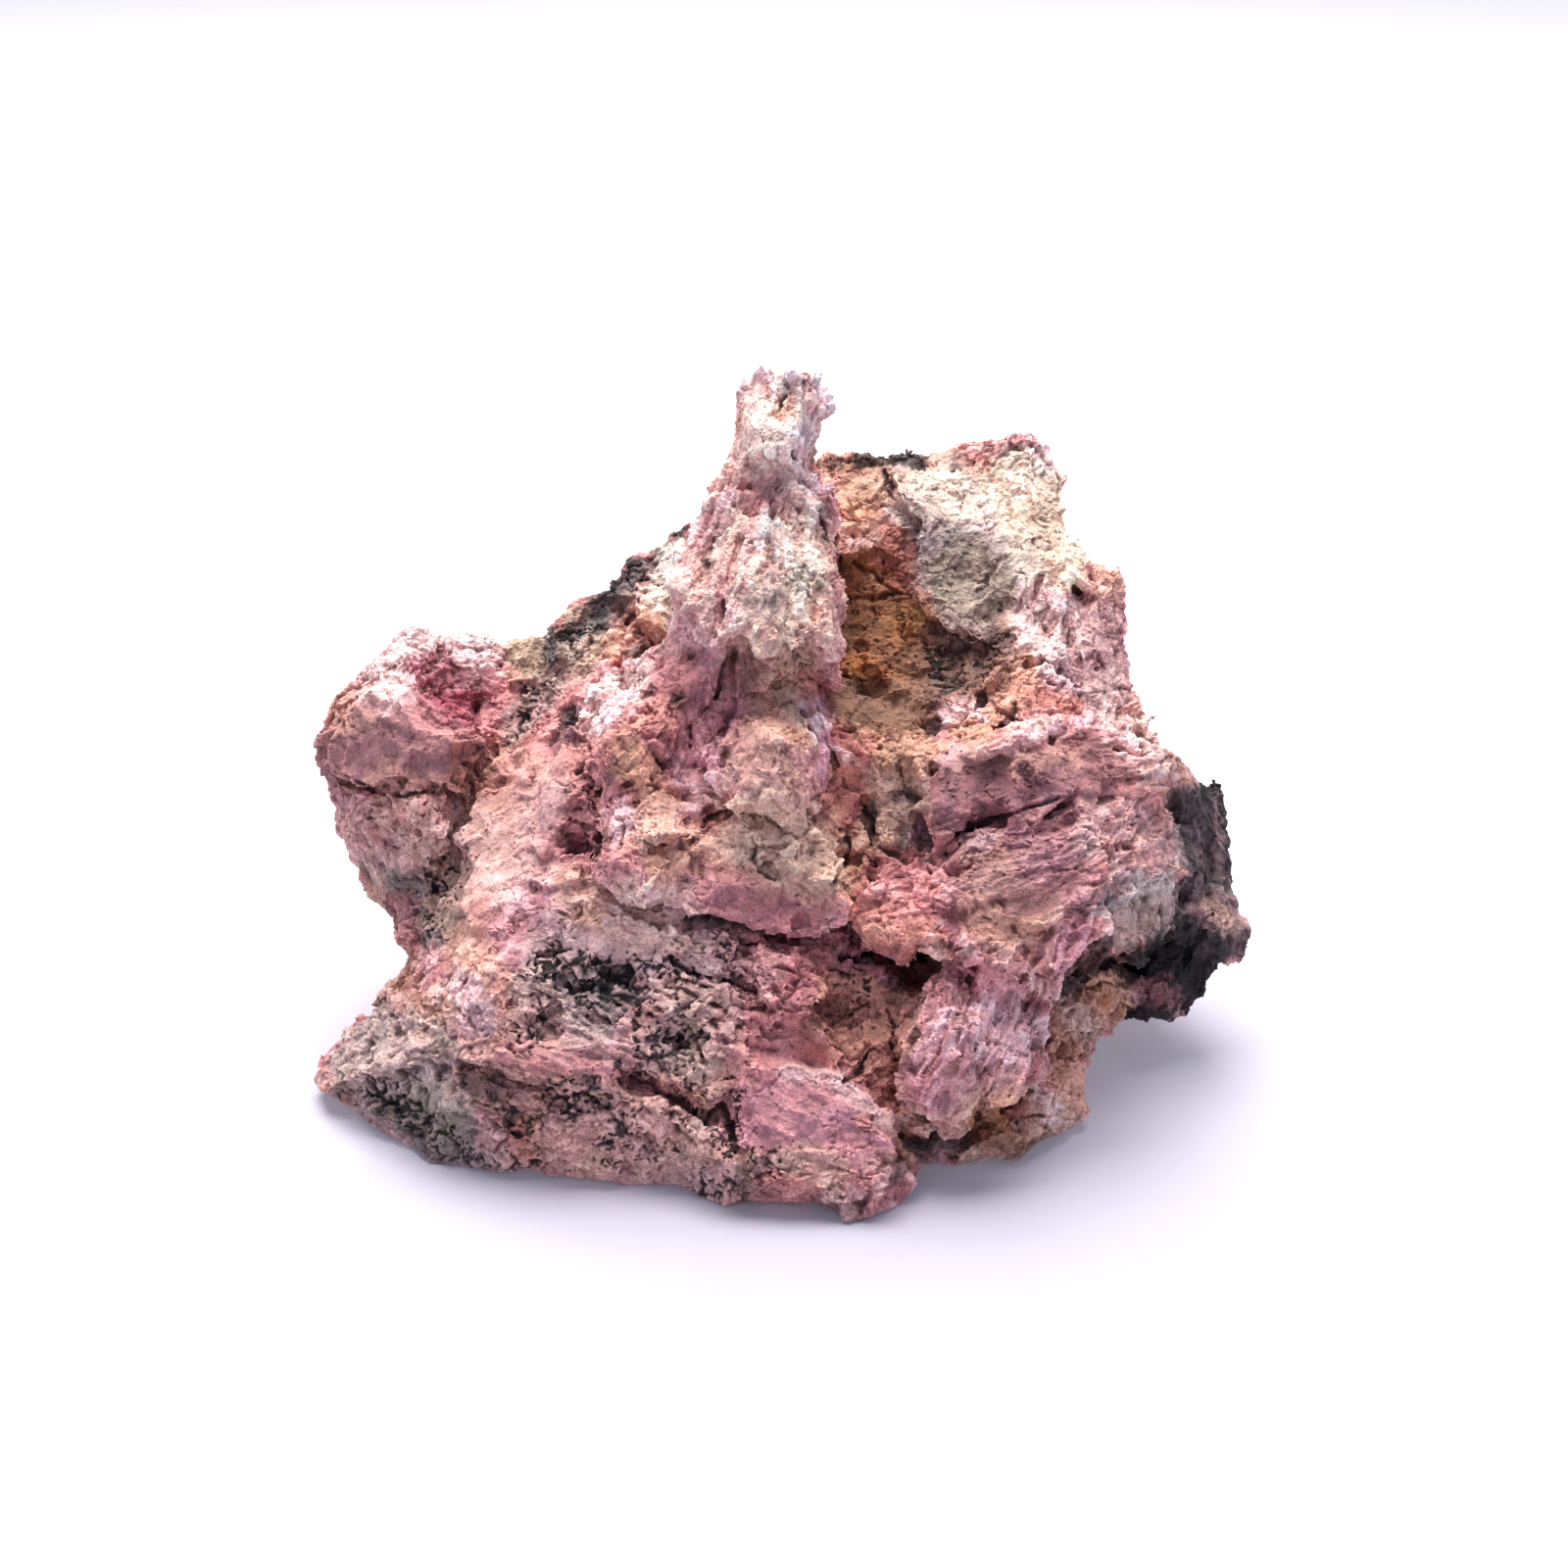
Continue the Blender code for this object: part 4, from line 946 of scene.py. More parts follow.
def steps(points, way, size, seed):
    """Broken layers: each climbs along a way and ends in a ragged edge. -0.5 to 0.5"""
    way = np.asarray(way, dtype=float)
    climb = points @ (way / np.linalg.norm(way)) / size
    climb = climb + noise(points, size * 2.5, seed) * 1.1 + noise(points, size * 0.7, seed + 1) * 0.3
    return teeth(climb) - 0.5


# %% Read each texture of the grain
bent = drift(smooth_points, 5.0, 0.5, 11)
fibres, along_fibres = fibre_space(bent, 3.0)
long_fibres, _ = fibre_space(bent, 8.0)
ridges = 1 - np.abs(noise(long_fibres, 1.0, 24, 1.0)) * 2.5
fine_ridges = 1 - np.abs(noise(long_fibres, 0.6, 25, 1.0)) * 2.5
streaks = noise(long_fibres, 1.6, 28, 2.0)
ends = broken_ends(long_fibres, along_fibres, 1.8, 6.0, 21)
splinter_large = chips(fibres, 2.2, 26)
splinter_small = chips(fibres, 0.9, 27)
down = steps(smooth_points, -UP + RIGHT * 0.3, 2.2, 81)
across = steps(smooth_points, RIGHT + UP * 0.4 + NEAR * 0.4, 3.1, 84)
pits = ramp(noise(smooth_points, 1.2, 44), 0.42, 0.85)
grain = noise(smooth_points, 0.45, 45, 2.0)
chip_large = chips(smooth_points, 3.6, 41)
chip_small = chips(smooth_points, 1.3, 42)
vein_lines = np.abs(noise(drift(smooth_points, 1.0, 0.15, 9), 1.3, 46)) + 0.35 * np.abs(noise(smooth_points, 0.5, 47))
veins = ramp(ramp(inside["network"], -0.7, 2.0) * 0.36 + 0.02 * (inside["network"] > -0.7) - vein_lines, -0.05, 0.03)
print("share of black veins:", round(float(veins.mean()), 3))

# %% Each way of breaking is a sum of them, in mm
VEIN_MM = 0.3
ZONE_WEIGHT = 1.6
REST_WEIGHT = 0.35
ways = {
    "smooth": chip_large * 0.08 + splinter_small * 0.05 + ridges * 0.03 + grain * 0.02,
    "silky": splinter_large * 0.34 + splinter_small * 0.14 + ends * 0.2 + ridges * 0.2 + fine_ridges * 0.1,
    "rind": chip_large * 0.26 + splinter_small * 0.1 + chip_small * 0.1 - pits * 0.16 + grain * 0.03,
    "crumbs": chip_large * 0.24 + chip_small * 0.2 + splinter_small * 0.1 - pits * 0.22 + grain * 0.03,
    "felt": noise(smooth_points, 3.0, 73) * 0.2 + splinter_small * 0.1 + chip_small * 0.08 + grain * 0.06
    - pits * 0.08,
    "upright": splinter_large * 0.2 + splinter_small * 0.06 + ridges * 0.12 + fine_ridges * 0.04,
    "broken": chip_large * 0.18 + splinter_large * 0.26 + splinter_small * 0.1 + down * 0.36 + across * 0.26
    - pits * 0.08 + grain * 0.02,
}
weights = {name: parts[name] * ZONE_WEIGHT for name in ways if name in parts}
weights["smooth"] = weights["smooth"] * 1.4
weights["upright"] = weights["upright"] * 2
# Where no zone reaches, the stone is simply broken
weights["broken"] = weights["broken"] + REST_WEIGHT
whole = sum(weights.values())
relief = sum(ways[name] * weights[name] for name in ways) / whole - veins * VEIN_MM
print("relief by zone:", round(float(relief.min()), 2), "to", round(float(relief.max()), 2), "mm")

# %% Cracks through the grain, and how deep each kind is
RIND_CRACK_MM = 0.5
CHIP_CRACK_MM = 0.22
NAMED_CRACK_MM = 0.45
FLAKE_CRACK_MM = 0.22
calm_parts = np.maximum.reduce([parts[name] for name in ("smooth", "silky", "felt", "upright")])
cracked = ramp(noise(smooth_points, 6.0, 61), 0.0, 0.3) * (1 - calm_parts)
relief -= ramp(-large_seams, -0.045, -0.01) * cracked * RIND_CRACK_MM
relief -= ramp(-small_seams, -0.09, -0.01) * ramp(noise(smooth_points, 2.5, 62), -0.1, 0.3) * CHIP_CRACK_MM
split_lines = within(traced, [(width * 0.45, path) for width, _, path in CRACKS], 0.4, 0.1)
relief -= ramp(split_lines, -0.12, 0.1) * NAMED_CRACK_MM
flake_seams = seams(fibres, 1.9, 29)
flake_splits = ramp(-flake_seams, -0.11, -0.04) * ramp(noise(smooth_points, 3.0, 63), 0.05, 0.35)
flake_splits *= 1 - 0.6 * parts["smooth"]
relief -= flake_splits * FLAKE_CRACK_MM
print("share of the skin on a named crack:", round(float((split_lines > 0).mean()), 4))

# %% Give the stone its grain
GRAIN_SHARE = 0.85
SINK_MM = 0.08
relief = relief * GRAIN_SHARE - relief.mean() * GRAIN_SHARE - SINK_MM
relief *= ramp(smooth_points[:, 2], 0.05, 1.0)
fine_points = smooth_points + normals * relief[:, None]
fine_points[:, 2] = np.maximum(fine_points[:, 2], 0.0)
move_to(skin, fine_points)
print("grain:", round(float(relief.std()), 3), "mm deep on the average")


# %% How far each point stands out from the stone around it
def standing(points, edges, times):
    """The height of each point over its calmed surroundings, in mm. More times reach wider."""
    return ((points - calmed(points, edges, times)) * normals).sum(axis=1)


crest_fine = standing(fine_points, skin_edges, 4)
crest_small = standing(fine_points, skin_edges, 20)
crest_wide = standing(fine_points, skin_edges, 120)
print("crests:", [round(float(value.std()), 3) for value in (crest_fine, crest_small, crest_wide)], "mm")

# %% [markdown]
# ## Paint
# Weathering has coloured this stone in zones, and the zones follow its forms. They are painted in code: a
# pigment, how much of it, how wide in mm, and a path of pixels. The ragged places give natural borders, and
# the crests and hollows found above decide where painted highlights and painted shade go. A few strokes paint
# light and shade as well: shadows in gaps and hollows, light on shaded faces, and a highlight along an edge.


# %% Pigments
def linear(hex_colour):
    """An sRGB hex value as the linear colour that a shader needs."""
    channels = [int(hex_colour[i:i + 2], 16) / 255 for i in (1, 3, 5)]
    return tuple(c / 12.92 if c <= 0.04045 else ((c + 0.055) / 1.055) ** 2.4 for c in channels)


PIGMENTS = {
    "pink": "#D68F8E", "blush": "#F4CCC7", "petal": "#FAD2DA", "lavender": "#C98F9E", "mauve": "#B07478",
    "plum": "#94586A", "rose": "#C04C66", "crimson": "#7E2838", "salmon": "#CB8272", "brick": "#A86256",
    "peach": "#E4AE94", "tan": "#CC9C80", "cream": "#F6DEC6", "sand": "#D4AE98", "olive": "#A39279",
    "wine": "#7A4A52", "grey": "#C8B6B0", "ash": "#907F7C", "slate": "#706764", "soot": "#443A3D",
    "black": "#1C1719", "ochre": "#A9652A", "rust": "#7E421E", "amber": "#9A7046", "brown": "#7A5645",
    "umber": "#472C26", "milk": "#F6EEE0",
}
print(len(PIGMENTS), "pigments")

# %% Paint: pigment, how much of it, radius in mm, then a path of pixels
PAINT = [
    # The left lobe and the valley beside it
    ("mauve", 0.85, 4.5, [(360, 760), (420, 760), (460, 780)]),
    ("mauve", 0.35, 4.0, [(370, 850), (400, 870), (400, 920)]),
    ("tan", 0.5, 3.0, [(350, 870), (390, 900), (420, 860)]),
    ("blush", 0.8, 2.6, [(390, 675), (440, 660), (485, 665)]),
    ("peach", 0.5, 2.0, [(345, 735), (370, 715), (395, 690)]),
    ("pink", 0.8, 2.6, [(500, 700), (490, 745), (450, 735)]), ("pink", 0.7, 3.4, [(450, 690), (475, 715)]),
    ("rose", 0.55, 1.9, [(442, 680), (452, 700), (470, 722)]),
    # The crimson in the hollow of the lobe is painted shade
    ("crimson", 0.45, 2.0, [(445, 688), (460, 704), (470, 718)]),
    ("crimson", 0.8, 0.35, [(458, 700), (472, 706), (486, 718)]), ("ash", 0.3, 4.0, [(360, 765), (440, 770)]),
    ("brown", 0.45, 2.0, [(470, 785), (490, 770)]), ("peach", 0.5, 2.0, [(400, 800), (430, 815), (470, 825)]),
    ("rose", 0.35, 1.2, [(405, 840), (410, 920)]), ("tan", 0.5, 2.0, [(430, 870), (420, 820)]),
    ("plum", 0.6, 1.4, [(400, 905), (415, 930)]),
    ("ash", 0.85, 2.4, [(405, 880), (440, 885), (460, 900), (445, 940)]),
    ("soot", 0.8, 1.0, [(410, 900), (440, 905), (445, 935)]), ("soot", 0.7, 0.9, [(470, 872), (460, 900)]),
    ("slate", 0.5, 1.2, [(455, 930), (470, 945)]),
    # The shoulder
    ("tan", 0.3, 5.0, [(545, 790), (520, 840), (490, 900)]), ("peach", 0.25, 3.0, [(530, 800), (500, 880)]),
    ("sand", 0.4, 1.8, [(515, 830), (505, 870)]), ("blush", 0.5, 2.4, [(555, 820), (545, 880), (520, 900)]),
    ("lavender", 0.5, 2.4, [(545, 930), (520, 965)]), ("milk", 0.85, 0.7, [(562, 790), (565, 802)]),
    ("mauve", 0.5, 2.0, [(600, 690), (590, 720)]), ("pink", 0.6, 2.4, [(640, 660), (620, 680), (560, 740)]),
    ("olive", 0.8, 2.6, [(545, 665), (575, 670), (600, 650)]),
    ("ash", 0.7, 1.6, [(565, 690), (540, 720), (525, 745)]), ("ash", 0.6, 1.4, [(565, 665), (590, 655)]),
    ("soot", 0.9, 0.7, [(550, 640), (575, 648), (600, 648)]), ("ash", 0.7, 1.8, [(582, 745)]),
    # The crimson line below the dark spot of the shoulder is a painted shadow
    ("black", 0.95, 1.1, [(580, 740), (588, 756)]), ("crimson", 0.6, 0.7, [(568, 765), (566, 780)]),
    # The crest behind
    ("tan", 0.6, 2.0, [(620, 655), (635, 630)]), ("slate", 0.8, 1.6, [(612, 632), (622, 600), (645, 585)]),
    ("black", 0.9, 0.8, [(610, 634), (618, 605), (636, 578), (655, 575)]),
    ("black", 0.9, 0.8, [(668, 570), (680, 545), (697, 540)]),
    ("ash", 0.7, 1.0, [(650, 600), (665, 580), (685, 560)]), ("soot", 0.6, 0.8, [(650, 590)]),
    ("milk", 0.8, 1.5, [(672, 612), (680, 592), (690, 570)]), ("amber", 0.8, 1.2, [(664, 632), (672, 645)]),
    ("umber", 0.9, 1.2, [(650, 665), (665, 670), (676, 662)]),
    # The spire
    ("blush", 0.6, 4.6, [(770, 520), (760, 570), (800, 600)]), ("petal", 0.9, 3.4, [(790, 392), (820, 402)]),
    ("blush", 0.4, 3.6, [(790, 400), (812, 420)]), ("peach", 0.45, 4.4, [(790, 440), (770, 500), (770, 560)]),
    ("peach", 0.5, 4.5, [(760, 570), (810, 570), (830, 610)]),
    ("cream", 0.35, 3.4, [(710, 580), (790, 550), (830, 600)]),
    ("petal", 0.7, 0.5, [(745, 512), (728, 560), (716, 600)]),
    ("pink", 0.7, 0.4, [(756, 512), (738, 560), (722, 612)]),
    ("pink", 0.6, 0.5, [(800, 520), (792, 560), (782, 600)]),
    ("petal", 0.8, 0.5, [(812, 520), (812, 560), (806, 600)]),
    ("pink", 0.5, 0.5, [(826, 540), (830, 580), (828, 620)]),
    ("petal", 0.7, 0.4, [(840, 560), (844, 600), (842, 630)]),
    ("pink", 0.6, 0.7, [(826, 400), (830, 425), (826, 455)]), ("rose", 0.3, 0.6, [(836, 400), (838, 416)]),
    ("petal", 0.7, 1.2, [(822, 440), (818, 470), (830, 490)]),
    ("cream", 0.6, 1.6, [(775, 425), (790, 440), (775, 470)]), ("peach", 0.5, 1.4, [(800, 415), (790, 425)]),
    ("peach", 0.6, 0.9, [(800, 410), (796, 425)]), ("sand", 0.8, 1.2, [(775, 485), (768, 470)]),
    ("ash", 0.6, 0.7, [(785, 480), (800, 478)]), ("mauve", 0.85, 1.3, [(780, 496), (778, 512), (795, 498)]),
    ("rose", 0.4, 0.8, [(778, 512)]), ("petal", 0.7, 1.4, [(742, 520), (722, 545)]),
    ("petal", 0.6, 1.0, [(780, 530), (760, 560)]), ("peach", 0.6, 2.0, [(735, 545), (715, 580), (700, 605)]),
    ("cream", 0.8, 0.7, [(722, 570), (712, 598), (702, 612)]), ("ochre", 0.4, 0.9, [(708, 562), (714, 590)]),
    ("pink", 0.7, 0.5, [(772, 532), (752, 572), (738, 605), (732, 625)]),
    ("petal", 0.8, 0.35, [(778, 535), (760, 572), (746, 600)]),
    ("pink", 0.65, 0.45, [(792, 545), (780, 580), (764, 610)]), ("mauve", 0.5, 0.4, [(730, 600), (712, 640)]),
    ("pink", 0.5, 0.5, [(735, 515), (715, 550)]), ("salmon", 0.4, 1.6, [(800, 575), (805, 600)]),
    ("ash", 0.75, 1.5, [(768, 605), (785, 600), (775, 625)]),
    ("peach", 0.6, 2.4, [(825, 560), (832, 600), (835, 630)]), ("cream", 0.6, 0.9, [(828, 570), (838, 610)]),
    ("sand", 0.7, 1.5, [(745, 650), (775, 655), (790, 640)]), ("peach", 0.5, 1.6, [(815, 620), (805, 640)]),
    ("milk", 0.9, 0.8, [(828, 517), (832, 526)]), ("ash", 0.6, 0.8, [(838, 545), (842, 515)]),
    ("rust", 0.3, 1.0, [(808, 522), (815, 530)]),
    # A painted shadow under the hem of the skirt
    ("brown", 0.5, 0.8, [(745, 672), (775, 676), (800, 664), (830, 676)]),
    # Under the spire: the step, the lumps, the boulder and the tan plane
    ("blush", 0.7, 1.8, [(680, 640), (690, 655)]), ("mauve", 0.6, 2.4, [(660, 695), (700, 685), (725, 670)]),
    ("pink", 0.4, 1.8, [(670, 690), (715, 680)]), ("plum", 0.4, 0.9, [(722, 680), (710, 695)]),
    ("black", 0.95, 1.0, [(700, 716), (718, 714)]),
    ("umber", 0.8, 0.3, [(745, 662), (735, 690), (728, 710), (706, 738)]),
    ("blush", 0.85, 1.9, [(610, 740), (625, 710), (650, 690)]), ("petal", 0.8, 1.2, [(640, 715), (625, 735)]),
    ("salmon", 0.5, 1.8, [(665, 730), (685, 745)]), ("salmon", 0.6, 2.4, [(640, 760), (640, 785), (660, 790)]),
    ("tan", 0.7, 1.6, [(640, 765), (640, 785), (656, 790)]),
    ("plum", 0.6, 0.9, [(660, 752), (680, 765), (684, 782)]), ("mauve", 0.6, 1.6, [(610, 800), (630, 815)]),
    ("petal", 0.5, 1.6, [(700, 775), (702, 800), (715, 820)]), ("peach", 0.6, 2.2, [(670, 830), (655, 850)]),
    ("petal", 0.6, 1.0, [(632, 850), (640, 830)]), ("ochre", 0.45, 1.0, [(680, 855), (668, 872)]),
    ("peach", 0.7, 2.2, [(680, 890), (710, 870)]), ("mauve", 0.8, 2.0, [(580, 862), (605, 868), (620, 885)]),
    ("plum", 0.5, 0.8, [(588, 856), (604, 860)]), ("umber", 0.8, 0.6, [(625, 884), (648, 895)]),
    ("pink", 0.6, 1.4, [(590, 830)]), ("brown", 0.5, 1.6, [(785, 680), (800, 675)]),
    ("crimson", 0.7, 0.7, [(772, 682)]), ("peach", 0.7, 1.4, [(820, 690), (800, 700)]),
    ("lavender", 0.3, 1.8, [(745, 700), (735, 730), (720, 760)]),
    ("peach", 0.8, 2.4, [(790, 715), (800, 730), (825, 742)]), ("cream", 0.5, 1.0, [(800, 712), (815, 735)]),
    ("ochre", 0.3, 0.8, [(808, 752)]), ("peach", 0.7, 1.6, [(770, 750), (785, 765)]),
    ("cream", 0.4, 0.9, [(772, 752)]), ("mauve", 0.7, 2.6, [(760, 780), (790, 790)]),
    ("sand", 0.7, 1.3, [(735, 795), (745, 800)]), ("crimson", 0.9, 0.6, [(722, 828), (735, 838), (745, 850)]),
    # The peach on the tan plane is partly its colour, partly painted light against the shade of the boulder's ledge
    ("peach", 0.85, 3.4, [(780, 835), (800, 870), (840, 890), (765, 860)]),
    ("ash", 0.3, 2.0, [(800, 880), (820, 860)]), ("blush", 0.6, 1.4, [(745, 860), (765, 872)]),
    ("mauve", 0.65, 2.6, [(720, 910), (780, 920), (830, 920)]), ("rose", 0.5, 1.2, [(830, 700), (838, 720)]),
    # The petal in the pink slot is painted light: the slot is a groove and lies in shade
    ("petal", 0.8, 1.5, [(835, 725), (842, 755)]), ("lavender", 0.8, 1.1, [(845, 750), (845, 780), (830, 800)]),
    ("salmon", 0.8, 2.0, [(865, 740), (890, 760)]), ("salmon", 0.8, 2.2, [(865, 800), (865, 840), (860, 870)]),
    ("peach", 0.5, 1.6, [(815, 800), (825, 820), (840, 850)]),
    # The grey lump and the dark slots beside it
    ("sand", 0.85, 2.6, [(915, 795), (915, 830), (900, 865)]), ("ash", 0.55, 1.8, [(930, 820), (925, 850)]),
    ("black", 0.95, 0.6, [(888, 825), (890, 845)]), ("umber", 0.8, 0.7, [(945, 843), (880, 900)]),
    ("tan", 0.8, 2.2, [(925, 745), (915, 765), (940, 770)]), ("black", 0.95, 0.9, [(949, 741)]),
    # The rusty pocket
    ("amber", 0.75, 3.6, [(875, 610), (890, 640), (935, 620)]),
    ("brown", 0.4, 2.6, [(870, 600), (900, 610), (950, 630)]), ("rust", 0.55, 2.0, [(860, 590), (855, 640)]),
    ("amber", 0.8, 2.2, [(925, 640), (925, 690)]), ("brown", 0.8, 2.8, [(875, 655), (895, 680)]),
    ("umber", 0.55, 2.4, [(875, 655), (895, 680)]), ("ochre", 0.9, 1.4, [(865, 680), (885, 694), (905, 698)]),
    ("rust", 0.85, 0.6, [(852, 700), (880, 704), (910, 708)]),
    ("tan", 0.7, 2.2, [(865, 720), (890, 735), (915, 715)]), ("brown", 0.6, 2.0, [(875, 722), (915, 722)]),
    ("sand", 0.4, 0.8, [(880, 716), (880, 738)]), ("tan", 0.8, 2.0, [(870, 500), (890, 490), (870, 480)]),
    ("brown", 0.45, 1.2, [(880, 510), (900, 505)]), ("ochre", 0.55, 1.0, [(868, 525), (885, 530)]),
    ("petal", 0.9, 0.9, [(875, 552), (890, 550)]), ("rose", 0.6, 0.6, [(880, 545)]),
    ("peach", 0.7, 1.2, [(870, 540), (900, 535)]), ("ochre", 0.7, 1.4, [(875, 572), (895, 565)]),
    ("brick", 0.75, 2.0, [(925, 535), (915, 560), (930, 590)]), ("umber", 0.6, 0.7, [(935, 525), (915, 522)]),
    # The grey face at the upper right, and its black crest
    ("grey", 0.9, 4.2, [(950, 500), (985, 530), (990, 580)]),
    ("cream", 0.5, 2.6, [(950, 495), (980, 510), (1000, 500)]),
    ("slate", 0.6, 2.6, [(970, 570), (1000, 590), (985, 610)]),
    ("ash", 0.5, 1.6, [(945, 520), (940, 590), (1010, 560)]),
    ("cream", 0.75, 3.0, [(1040, 490), (1060, 530), (1075, 570)]),
    ("peach", 0.6, 2.0, [(1070, 520), (1050, 540), (1080, 580)]), ("grey", 0.7, 2.0, [(1020, 600), (1040, 580)]),
    ("brick", 0.5, 1.4, [(985, 465), (1005, 475)]), ("peach", 0.6, 1.2, [(955, 465)]),
    ("black", 0.9, 0.8, [(830, 466), (840, 460), (852, 472)]),
    ("black", 0.9, 1.0, [(878, 468), (905, 465), (935, 472)]), ("black", 0.8, 0.5, [(1010, 456)]),
    ("slate", 0.7, 0.8, [(1025, 465), (1045, 462)]), ("petal", 0.6, 1.2, [(1060, 455), (1070, 470)]),
    ("sand", 0.7, 1.2, [(910, 485), (900, 500)]), ("umber", 0.7, 0.4, [(903, 485), (910, 497)]),
    ("slate", 0.8, 0.6, [(1082, 490), (1078, 510)]),
    # The dark crust, the mound and the pink block behind it
    ("soot", 0.75, 2.8, [(955, 670), (985, 670), (1010, 665)]), ("ash", 0.6, 1.6, [(965, 690), (990, 660)]),
    ("brown", 0.7, 1.3, [(985, 700), (975, 680)]), ("black", 0.9, 0.8, [(972, 637)]),
    ("umber", 0.7, 1.0, [(1020, 650), (1000, 690)]), ("grey", 0.7, 1.6, [(975, 640), (1000, 620)]),
    ("soot", 0.6, 1.4, [(960, 700), (950, 715)]), ("sand", 0.5, 1.0, [(1030, 640), (1035, 610)]),
    ("blush", 0.6, 2.6, [(1075, 640), (1060, 620)]), ("peach", 0.6, 2.0, [(1110, 590), (1130, 595)]),
    ("petal", 0.6, 0.9, [(1085, 620), (1080, 650)]), ("mauve", 0.55, 2.4, [(1130, 640), (1120, 680), (1110, 640)]),
    ("grey", 0.4, 2.0, [(1130, 700), (1120, 720)]), ("brick", 0.6, 3.4, [(1030, 715), (1060, 722), (1010, 730)]),
    ("peach", 0.6, 2.2, [(1030, 692), (1045, 688), (1008, 725)]), ("petal", 0.7, 1.4, [(1075, 670), (1090, 700)]),
    ("petal", 0.7, 1.4, [(975, 730), (990, 725)]), ("salmon", 0.7, 1.4, [(1060, 710), (1085, 720)]),
    ("blush", 0.6, 1.2, [(1030, 745), (1070, 740)]), ("brown", 0.5, 0.9, [(985, 755), (1000, 750)]),
    ("crimson", 0.6, 0.6, [(1015, 765), (1035, 758)]), ("tan", 0.7, 1.4, [(985, 745), (1000, 760)]),
    # The slab, the scooped lump, the wing and the tuft
    ("brick", 0.4, 1.8, [(1110, 765), (1145, 785)]), ("lavender", 0.3, 1.4, [(1000, 785), (970, 820)]),
    # The pale line along the slab's top edge is a painted highlight
    ("petal", 0.6, 0.8, [(963, 778), (1000, 770), (1021, 766), (1055, 752), (1100, 742), (1135, 752), (1160, 778)]),
    ("mauve", 0.5, 4.5, [(1000, 870), (1040, 880), (1090, 880)]), ("pink", 0.35, 3.0, [(1050, 850), (1080, 860)]),
    ("lavender", 0.5, 1.8, [(1075, 870), (1050, 860)]), ("tan", 0.5, 2.4, [(1000, 880), (1020, 910), (1050, 930)]),
    ("peach", 0.6, 1.6, [(990, 930), (1040, 965), (1060, 950)]),
    ("petal", 0.6, 1.2, [(930, 850), (960, 850), (1000, 855)]),
    ("salmon", 0.8, 2.4, [(895, 935), (920, 955), (930, 945)]), ("peach", 0.45, 1.2, [(895, 945), (920, 960)]),
    ("pink", 0.7, 2.0, [(900, 900), (920, 890), (930, 920)]), ("crimson", 0.7, 0.5, [(925, 905), (928, 922)]),
    ("crimson", 0.5, 0.9, [(975, 935)]), ("pink", 0.6, 2.4, [(1140, 840), (1165, 860), (1150, 885)]),
    ("lavender", 0.7, 1.4, [(1100, 945), (1080, 990), (1070, 1010)]),
    ("petal", 0.8, 0.6, [(1110, 860), (1118, 885), (1105, 915), (1085, 930)]),
    ("blush", 0.8, 2.4, [(1140, 735), (1160, 760), (1180, 795)]), ("peach", 0.5, 0.9, [(1160, 725), (1170, 760)]),
    # The cave and the pink block
    # The plum, crimson, black and umber in the cave are painted shade
    ("plum", 0.8, 1.4, [(870, 980), (900, 985), (930, 995)]), ("crimson", 0.7, 0.7, [(890, 975), (920, 980)]),
    ("black", 0.95, 1.3, [(940, 970), (960, 985)]), ("umber", 0.8, 1.0, [(930, 1000), (905, 1010)]),
    ("pink", 0.7, 2.0, [(990, 990), (1020, 1000)]),
    ("lavender", 0.6, 4.0, [(975, 1040), (1020, 1060), (970, 1090)]),
    ("pink", 0.5, 4.2, [(970, 1040), (1025, 1050), (975, 1095)]), ("petal", 0.4, 3.0, [(985, 1050), (1040, 1050)]),
    ("crimson", 0.85, 0.8, [(987, 1008)]), ("crimson", 0.8, 0.7, [(1025, 1022)]),
    ("crimson", 0.85, 1.0, [(1062, 1012), (1055, 1025)]),
    ("tan", 0.8, 0.9, [(935, 1015), (928, 1040), (915, 1060)]), ("plum", 0.6, 0.8, [(960, 1125), (990, 1120)]),
    # The middle lump and the brown recess
    ("pink", 0.7, 2.6, [(795, 975), (800, 1005), (790, 1030)]), ("blush", 0.4, 1.4, [(785, 975), (780, 1000)]),
    ("crimson", 0.85, 0.7, [(805, 1008), (812, 1002)]), ("tan", 0.6, 2.4, [(865, 1015), (900, 1030)]),
    ("brown", 0.35, 2.2, [(890, 1040), (850, 1060), (905, 1070)]), ("blush", 0.3, 3.4, [(870, 1050), (890, 1080)]),
    ("milk", 0.5, 0.5, [(845, 1025)]), ("umber", 0.85, 1.0, [(830, 1038), (838, 1048)]),
    ("salmon", 0.7, 2.4, [(860, 1075), (890, 1090)]), ("pink", 0.5, 1.6, [(850, 1085)]),
    ("brick", 0.7, 1.3, [(895, 1110), (908, 1132)]), ("salmon", 0.6, 1.4, [(830, 1030), (820, 1060)]),
    ("umber", 0.6, 0.6, [(870, 1058), (895, 1050)]),
    # The lower front
    ("mauve", 0.35, 9.0, [(560, 1080), (650, 1130), (720, 1160)]),
    ("peach", 0.5, 2.6, [(480, 970), (490, 1010), (510, 1030)]), ("petal", 0.5, 1.6, [(470, 1005), (490, 1040)]),
    ("tan", 0.6, 2.2, [(590, 915), (620, 930), (640, 920)]), ("ochre", 0.3, 1.2, [(600, 935), (625, 920)]),
    ("blush", 0.5, 2.6, [(650, 940), (690, 935), (690, 960)]), ("tan", 0.5, 1.8, [(640, 950), (660, 955)]),
    ("ash", 0.5, 2.6, [(560, 960), (580, 990), (620, 1000)]),
